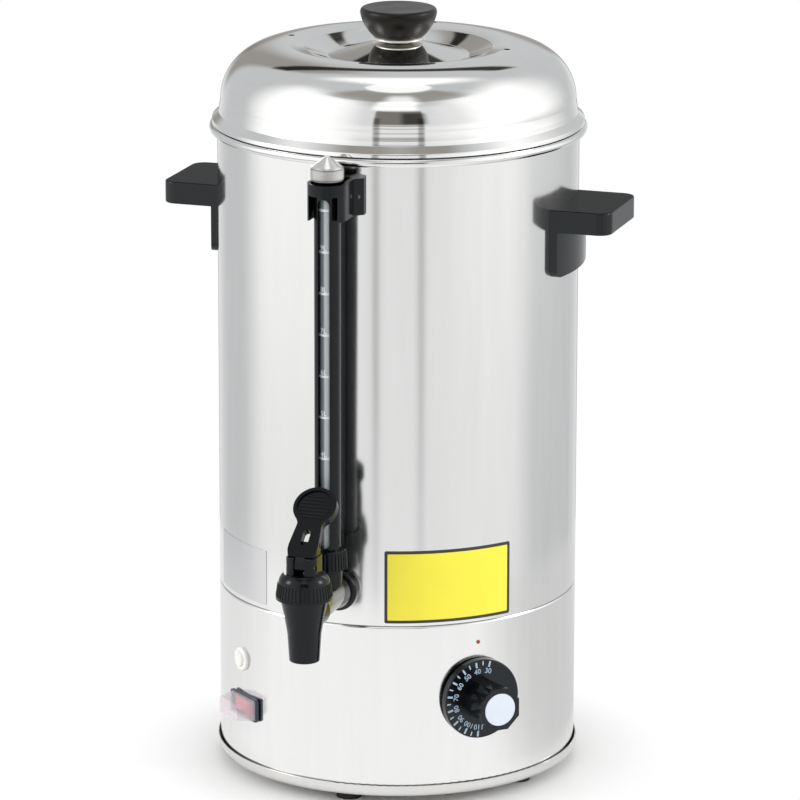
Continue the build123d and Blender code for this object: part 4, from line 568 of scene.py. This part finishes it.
def dial_scale():
    """Ticks and figures, anticlockwise from the top right, with their tops outward."""
    bm = bmesh.new()
    per_degree = (SCALE_END - SCALE_START) / (SCALE_LAST - SCALE_FIRST)
    for value in range(SCALE_FIRST, SCALE_LAST + 1, SCALE_STEP // 2):
        turn = math.radians(SCALE_START + per_degree * (value - SCALE_FIRST))
        major = value % SCALE_STEP == 0
        length = TICK_LONG if major else TICK_SHORT
        width = TICK_WIDE if major else TICK_NARROW
        tick = rounded_outline(width, length, TICK_CORNER, steps=2)
        slab(bm, tick, 0.0, PRINT_T, on_dial(TICK_OUT - length / 2, turn), turn)
        if major:
            lettering(bm, str(value), FIGURE_SIZE, PRINT_T, on_dial(FIGURE_R, turn), turn)
    return finish_mesh("dial_scale", bm)


dial_front = wall_matrix(DIAL_AZIMUTH, DIAL_H, DIAL_FACE + PRINT_LIFT)
add_object("dial_scale", dial_scale(), PRINT_BLUE, "dial", dial_front)


# ---------------------------------------------------------------- litre marks on the gauge tube
LITRE_H = 25.6
FIRST_MARK_H = 221.8 + FEET
FIRST_LITRE = 4
LAST_LITRE = 9
MARK_HALF_ANGLE = 62.0
MARK_T = 1.5
MARK_LIFT = 0.04
LITRE_SIZE = 4.5
LITRE_RISE = 2.5
LITRE_TURN = -11.0


def litre_marks():
    """A line and a figure for each litre, and a plain line on top."""
    bm = bmesh.new()
    half = math.radians(MARK_HALF_ANGLE) * GLASS_R
    aside = math.radians(LITRE_TURN) * GLASS_R
    litres = range(FIRST_LITRE, LAST_LITRE + 2)
    for i, litre in enumerate(litres):
        y = LITRE_H * i
        low, high = y - MARK_T / 2, y + MARK_T / 2
        slab(bm, [(half, high), (-half, high), (-half, low), (half, low)], MARK_LIFT, MARK_LIFT + PRINT_T)
        if litre <= LAST_LITRE:
            lettering(bm, f"{litre}L", LITRE_SIZE, PRINT_T, (aside, y + LITRE_RISE))
    return wrapped("litre_marks", bm, GLASS_R, 0, FIRST_MARK_H, (0, -GAUGE_REACH), step=0.8)


add_object("litre_marks", litre_marks(), PRINT_WHITE, "urn")


# ---------------------------------------------------------------- knurl on the gauge's cap
KNURL_COUNT = 24
KNURL_ROWS = 4
KNURL_STEPS = 8
KNURL_LIFT = 0.02
KNURL_H = 0.42
KNURL_GROOVE = 0.999
KNURL_FADE = 0.125
KNURL_EDGE = 0.9
KNURL_SINK = 0.2
KNURL_ANGLE = 60
CAP_BAND_H = 8.8


def knurl_rise(turn, t):
    """How high the knurl stands between two sets of crossed helical grooves; it fades out at both ends."""
    groove_a = abs(math.cos(math.pi * (KNURL_COUNT * turn + KNURL_ROWS * t)))
    groove_b = abs(math.cos(math.pi * (KNURL_COUNT * turn - KNURL_ROWS * t)))
    fade = min(1.0, t / KNURL_FADE, (1 - t) / KNURL_FADE)
    return KNURL_H * fade * (1 - max(groove_a, groove_b) ** 2 * KNURL_GROOVE)


def knurl_band():
    """A closed band of small peaks, whose inner side lies inside the cap."""
    low = CAP_LOW_H + KNURL_EDGE
    tall = CAP_BAND_H - 2 * KNURL_EDGE
    across = KNURL_COUNT * KNURL_STEPS
    up = KNURL_ROWS * KNURL_STEPS
    bm = bmesh.new()
    rings = []
    for j in range(up + 1):
        t = j / up
        radii = [CAP_R + KNURL_LIFT + knurl_rise(i / across, t) for i in range(across)]
        rings.append(add_ring(bm, radii, low + tall * t))
    for height in (low + tall, low):
        rings.append(add_ring(bm, [CAP_R - KNURL_SINK] * across, height))
    skin_rings(bm, rings)
    return finish_mesh("cap_knurl", bm)


cap_axis = Matrix.Translation((0, -GAUGE_REACH * MM, 0))
band = add_object("cap_knurl", knurl_band(), KNURL_METAL, "urn", cap_axis)
smooth(band, KNURL_ANGLE)


# ---------------------------------------------------------------- the gauge's shield with its wide window
WINDOW_HALF = 3.7
WINDOW_LOW_H = 165.6 + FEET
WINDOW_TOP_H = 382.4 + FEET
WINDOW_REACH = 12.0


def window_cutter():
    """A tall slot with round ends that opens the front of the shield."""
    tall = WINDOW_TOP_H - WINDOW_LOW_H
    bm = bmesh.new()
    outline = rounded_outline(2 * WINDOW_HALF, tall, WINDOW_HALF * NEAR_ROUND, steps=9)
    slab(bm, outline, 0.0, WINDOW_REACH)
    mesh = finish_mesh("cutter", bm)
    mesh.transform(wall_matrix(0, (WINDOW_LOW_H + WINDOW_TOP_H) / 2, GAUGE_REACH))
    return mesh


shield = add_object("gauge_shield_windowed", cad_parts["gauge_shield"].data.copy(), BLACK, None)
cut_out(shield, [window_cutter()])
smooth(shield, CAD_EDGE_ANGLE)
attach(shield, "urn")
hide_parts("gauge_shield")


# ---------------------------------------------------------------- the spun lid, finely turned
LID_SHEET = 0.6
LID_HALF = LID_SHEET / 2
LID_LOW_H = 403.5 + FEET
LID_EDGE_R = SHELL_R + 3.4
LID_EDGE_H = 2.4
LID_EDGE_LEAN = 0.2
LEDGE_R = SHELL_R - 1.0
LEDGE_RISE = 8.0
LEDGE_ROUND = 1.5
LID_WALL_R = SHELL_R - 1.3
LID_WALL_RISE = 14.4
LID_DRAFT = 0.8
LID_BEND = 1.0
CROWN_ARCS = ((32.3, 68.8), (58.2, 21.2))  # radius and angle, from the wall inwards
WELL_RIM_R = LID_WALL_R - 53.4
WELL_VALLEY_R = WELL_RIM_R - 13.5
WELL_CONE_R = 16.5
WELL_DEPTH = 9.8
WELL_CONE_RISE = 2.2
WELL_BEND = 3.0
WELL_STEPS = 14
KNOB_SCREW_HOLE_R = 2.55
VENT_R = 2.0
VENT_CIRCLE_R = WELL_RIM_R + 12.5
VENT_COUNT = 4
VENT_SIDES = 32
VENT_DEPTH = 20
LID_SEGMENTS = 288
LID_ANGLE = 40


def filleted(corners, radius, steps=6):
    """A line through corners in radius and height, with each inner corner rounded."""
    line = [Vector(corners[0])]
    for before, corner, after in zip(corners, corners[1:], corners[2:]):
        corner = Vector(corner)
        back = (Vector(before) - corner).normalized()
        on = (Vector(after) - corner).normalized()
        half = back.angle(on) / 2
        reach = radius / math.tan(half)
        centre = corner + (back + on).normalized() * radius / math.sin(half)
        start = corner + back * reach - centre
        end = corner + on * reach - centre
        for i in range(steps + 1):
            line.append(centre + start.slerp(end, i / steps))
    line.append(Vector(corners[-1]))
    return line


def bent_on(line, heading, radius, angle, steps=48):
    """Carries a line on round an arc that turns left, and gives its new heading."""
    centre = line[-1] + Vector((-heading.y, heading.x)) * radius
    arm = line[-1] - centre
    for i in range(1, steps + 1):
        line.append(centre + Matrix.Rotation(math.radians(angle) * i / steps, 2) @ arm)
    return Matrix.Rotation(math.radians(angle), 2) @ heading


def sheet_outline(line, half):
    """Both faces of a sheet along its middle line."""
    sides = ([], [])
    for i, point in enumerate(line):
        way = (line[min(i + 1, len(line) - 1)] - line[max(i - 1, 0)]).normalized()
        out = Vector((way.y, -way.x)) * half
        sides[0].append(point + out)
        sides[1].append(point - out)
    return sides[0] + sides[1][::-1]


def turned_lid():
    """The lid's mesh and the height of its crown."""
    edge_r = LID_EDGE_R - LID_HALF
    wall_r = LID_WALL_R - LID_HALF
    ledge_h = LID_LOW_H + LEDGE_RISE
    rim = (
        (edge_r, LID_LOW_H + LID_HALF), (edge_r - LID_EDGE_LEAN, LID_LOW_H + LID_EDGE_H),
        (LEDGE_R - LID_HALF, ledge_h - LEDGE_ROUND), (wall_r, ledge_h + LEDGE_ROUND),
        (wall_r - LID_DRAFT, LID_LOW_H + LID_WALL_RISE),
    )
    line = filleted(rim, LID_BEND)
    heading = Vector((0, 1))
    for radius, angle in CROWN_ARCS:
        heading = bent_on(line, heading, radius, angle)
    high = line[-1].y
    top = high + WELL_CONE_RISE
    well = (
        line[-1], (WELL_RIM_R, high), (WELL_VALLEY_R, high - WELL_DEPTH), (WELL_CONE_R, top),
        (KNOB_SCREW_HOLE_R, top),
    )
    line += filleted(well, WELL_BEND, WELL_STEPS)[1:]
    bm = bmesh.new()
    rings = [add_ring(bm, [r] * LID_SEGMENTS, z) for r, z in sheet_outline(line, LID_HALF)]
    skin_rings(bm, rings)
    return finish_mesh("lid_shell_turned", bm), high


def vent_cutters(height):
    """A rod through the crown for each steam vent."""
    for i in range(VENT_COUNT):
        bm = bmesh.new()
        rod = {"radius1": VENT_R, "radius2": VENT_R, "depth": VENT_DEPTH}
        bmesh.ops.create_cone(bm, cap_ends=True, segments=VENT_SIDES, **rod)
        cutter = finish_mesh("cutter", bm)
        side = direction(180 - 360 * i / VENT_COUNT) * VENT_CIRCLE_R
        cutter.transform(Matrix.Translation((side + Vector((0, 0, height))) * MM))
        yield cutter


lid_mesh, crown_h = turned_lid()
lid = add_object("lid_shell_turned", lid_mesh, LID_STEEL, None)
cut_out(lid, vent_cutters(crown_h))
smooth(lid, LID_ANGLE)
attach(lid, "lid")
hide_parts("lid_shell")


# ---------------------------------------------------------------- camera
AIM_H = (224.0 + FEET) * MM
CAMERA_AZIMUTH = 18.5
CAMERA_PITCH = 14.788
CAMERA_DISTANCE = 3350.9 * MM
CAMERA_ROLL = 0.108
CAMERA_REACH = 50
SENSOR_WIDTH = 36.0
FOCAL_PIXELS = 5339.06
FRAME_PIXELS = 800
CENTRE_PIXEL_X = 397.85


def look_at_urn(obj, azimuth, elevation, distance, roll=0.0):
    """Links a camera or a light and points it at the middle of the urn."""
    bpy.context.scene.collection.objects.link(obj)
    back = direction(azimuth, elevation)
    turn = (-back).to_track_quat("-Z", "Y")
    obj.location = Vector((0, 0, AIM_H)) + back * distance
    obj.rotation_mode = "QUATERNION"
    obj.rotation_quaternion = turn @ Matrix.Rotation(math.radians(roll), 4, "Z").to_quaternion()


def make_camera():
    data = bpy.data.cameras.new("camera")
    data.sensor_width = SENSOR_WIDTH
    data.lens = FOCAL_PIXELS / FRAME_PIXELS * SENSOR_WIDTH
    data.shift_x = (FRAME_PIXELS / 2 - CENTRE_PIXEL_X) / FRAME_PIXELS
    data.clip_end = CAMERA_REACH
    cam = bpy.data.objects.new("camera", data)
    look_at_urn(cam, CAMERA_AZIMUTH, CAMERA_PITCH, CAMERA_DISTANCE, CAMERA_ROLL)
    bpy.context.scene.camera = cam


# ---------------------------------------------------------------- studio
# The room's walls have one level, panels that add to it and shades that take a share of it away.
# Each one: azimuth, half width, soft edge, elevation, half height, soft edge (degrees), strength.
WALL_LEVEL = 0.62
PANELS = (
    (-52, 20, 30, 20, 26, 20, 0.58),  # softbox on the left, and its bright middle
    (-62, 4, 12, 24, 4, 12, 6.0),
    (101, 18, 45, 24, 22, 20, 0.60),  # softbox on the right, and its bright middle
    (104, 4, 12, 24, 4, 12, 6.0),
    (45, 48, 28, -20, 16, 10, 0.25),  # the pale table in front and behind
    (-160, 10, 32, -20, 18, 8, 0.20),
    (17, 28, 20, 22, 18, 12, 0.18),  # the wall behind the camera, and what lights it from above
    (16, 13, 7, 47, 7, 6, 0.40),
    (21, 6, 16, 60, 3, 12, 1.2),
    (0, 180, 1, 90, 11, 1.5, 0.50),  # the ceiling, and the lamp behind the urn
    (-165, 25, 30, 72, 8, 12, 0.55),
    (-165, 12, 20, 71, 3, 8, 1.5),
)
SHADES = (
    (18, 60, 24, 65.5, 9, 4, 0.45),  # the dim band under the ceiling in front
    (18.7, 15.2, 1.5, 20.5, 12.5, 4, 0.74),  # the dark stand round the camera, and its darker side
    (28.5, 5, 6, 19, 9, 6, 0.72),
    (4.5, 1, 2, 2, 16, 4, 0.50),  # the stand's two legs and its two cross bars
    (33, 1, 2, 2, 16, 4, 0.50),
    (18.7, 15.2, 2, 3.5, 0.8, 1.2, 0.45),
    (18.7, 15.2, 2, -2.5, 0.8, 1.2, 0.40),
    (-145, 5, 10, 22, 20, 10, 0.45),  # the gaps behind the urn
    (-158, 21, 5, 37.5, 2.2, 2.5, 0.93),
    (198.5, 8, 5, -18, 20, 8, 0.50),
)
LEVEL_TINTS = (
    (0.3, (1.0, 0.95, 0.88)),
    (WALL_LEVEL, (0.965, 0.987, 1.0)),
    (0.95, (1.0, 0.998, 0.99)),
)
# Each softbox: name, azimuth, elevation (degrees), distance, side (metres), power.
SOFTBOXES = (
    ("softbox_left", -50, 30, 2.2, 1.4, 5),
    ("softbox_right", 70, 30, 2.2, 1.4, 4),
    ("overhead", 10, 75, 2.0, 2.0, 5),
)


def make_world():
    """A pale studio: white to the camera, and walls with soft panels and dim gaps to everything else."""
    world = bpy.data.worlds.new("studio")
    bpy.context.scene.world = world
    world.use_nodes = True
    nodes, links = world.node_tree.nodes, world.node_tree.links
    nodes.clear()

    def calc(operation, *inputs):
        return math_node(nodes, links, operation, *inputs)

    where = nodes.new("ShaderNodeTexCoord")
    split = nodes.new("ShaderNodeSeparateXYZ")
    links.new(where.outputs["Generated"], split.inputs["Vector"])
    flat = vector_node(nodes, links, "MULTIPLY", where.outputs["Generated"], (1, 1, 0))
    level_way = vector_node(nodes, links, "NORMALIZE", flat)
    rise = calc("DEGREES", calc("ARCSINE", split.outputs["Z"]))

    def panel(azimuth, half_width, soft_width, elevation, half_height, soft_height):
        """1 inside the panel, and 0 beyond its soft edges."""
        dot = vector_node(nodes, links, "DOT_PRODUCT", level_way, direction(azimuth))
        aside = calc("DEGREES", calc("ARCCOSINE", calc("MINIMUM", dot, 1.0)))
        above = calc("ABSOLUTE", calc("SUBTRACT", rise, elevation))
        across = map_range(nodes, links, aside, half_width + soft_width, half_width, eased=True)
        up = map_range(nodes, links, above, half_height + soft_height, half_height, eased=True)
        return calc("MULTIPLY", across, up)

    level = WALL_LEVEL
    for *place, added in PANELS:
        level = calc("MULTIPLY_ADD", panel(*place), added, level)
    for *place, depth in SHADES:
        level = calc("MULTIPLY", level, calc("MULTIPLY_ADD", panel(*place), -depth, 1.0))

    room = nodes.new("ShaderNodeBackground")
    links.new(color_ramp(nodes, links, level, LEVEL_TINTS), room.inputs["Color"])
    links.new(level, room.inputs["Strength"])
    white = nodes.new("ShaderNodeBackground")
    white.inputs["Color"].default_value = (1, 1, 1, 1)
    path = nodes.new("ShaderNodeLightPath")
    mix = nodes.new("ShaderNodeMixShader")
    links.new(path.outputs["Is Camera Ray"], mix.inputs["Fac"])
    links.new(room.outputs["Background"], mix.inputs[1])
    links.new(white.outputs["Background"], mix.inputs[2])
    links.new(mix.outputs["Shader"], nodes.new("ShaderNodeOutputWorld").inputs["Surface"])


def softbox(name, azimuth, elevation, distance, side, power):
    """A square light on the urn; metal reflects the studio's panels in its place."""
    data = bpy.data.lights.new(name, "AREA")
    data.size = side
    data.energy = power
    light = bpy.data.objects.new(name, data)
    look_at_urn(light, azimuth, elevation, distance)
    light.visible_glossy = False


# ---------------------------------------------------------------- floor
FLOOR_R = 560.0
FLOOR_SIDES = 128
FLOOR_NOISE_SCALE = 3
FLOOR_ROUGHNESS = 0.6
FLOOR_SPECULAR = 0.2
SHADOW_R = 118.0
WHITE_R = 175.0
FLOOR_LEVEL = 1.03
FLOOR_WHITES = ((0.93, 0.93, 0.93), (0.95, 0.95, 0.95))
# Where the floor is dimmer: azimuth, start and end as the cosine of the angle from it, and depth.
FLOOR_DIMS = ((130, 0.3, 1.0, 0.33), (-122, 0.3, 1.0, 0.16))


def make_floor():
    """A pale disc that keeps the urn's shadow and turns white away from it."""
    bm = bmesh.new()
    bmesh.ops.create_circle(bm, cap_ends=True, radius=FLOOR_R, segments=FLOOR_SIDES)
    mesh = finish_mesh("floor", bm)
    if mesh.polygons[0].normal.z < 0:
        mesh.flip_normals()
    mat, nodes, links, shader = new_material("floor_white")

    def calc(operation, *inputs):
        return math_node(nodes, links, operation, *inputs)

    noise = mapped_noise(nodes, links, FLOOR_NOISE_SCALE)
    pale = color_ramp(nodes, links, noise, tuple(zip((NOISE_LOW, NOISE_HIGH), FLOOR_WHITES)))
    links.new(pale, shader.inputs["Base Color"])
    shader.inputs["Roughness"].default_value = FLOOR_ROUGHNESS
    shader.inputs["Specular IOR Level"].default_value = FLOOR_SPECULAR

    where = nodes.new("ShaderNodeTexCoord")
    far = vector_node(nodes, links, "LENGTH", where.outputs["Object"])
    fade = map_range(nodes, links, far, SHADOW_R * MM, WHITE_R * MM, eased=True)
    way = vector_node(nodes, links, "NORMALIZE", where.outputs["Object"])
    level = FLOOR_LEVEL
    for azimuth, start, end, depth in FLOOR_DIMS:
        dot = vector_node(nodes, links, "DOT_PRODUCT", way, direction(azimuth))
        window = map_range(nodes, links, dot, start, end, eased=True)
        level = calc("MULTIPLY", calc("MULTIPLY_ADD", window, -depth, 1.0), level)

    path = nodes.new("ShaderNodeLightPath")
    seen = path.outputs["Is Camera Ray"]
    mirrored = calc("MAXIMUM", path.outputs["Is Glossy Ray"], path.outputs["Is Transmission Ray"])
    white = nodes.new("ShaderNodeEmission")
    links.new(calc("MAXIMUM", level, seen), white.inputs["Strength"])
    mix = nodes.new("ShaderNodeMixShader")
    links.new(calc("MULTIPLY", fade, calc("MAXIMUM", seen, mirrored)), mix.inputs["Fac"])
    links.new(shader.outputs["BSDF"], mix.inputs[1])
    links.new(white.outputs["Emission"], mix.inputs[2])
    links.new(mix.outputs["Shader"], nodes["Material Output"].inputs["Surface"])
    floor = add_object("floor", mesh, mat, None)


make_camera()
make_world()
for box in SOFTBOXES:
    softbox(*box)
make_floor()

bpy.context.scene.view_settings.view_transform = "Standard"
bpy.context.scene.view_settings.look = "None"
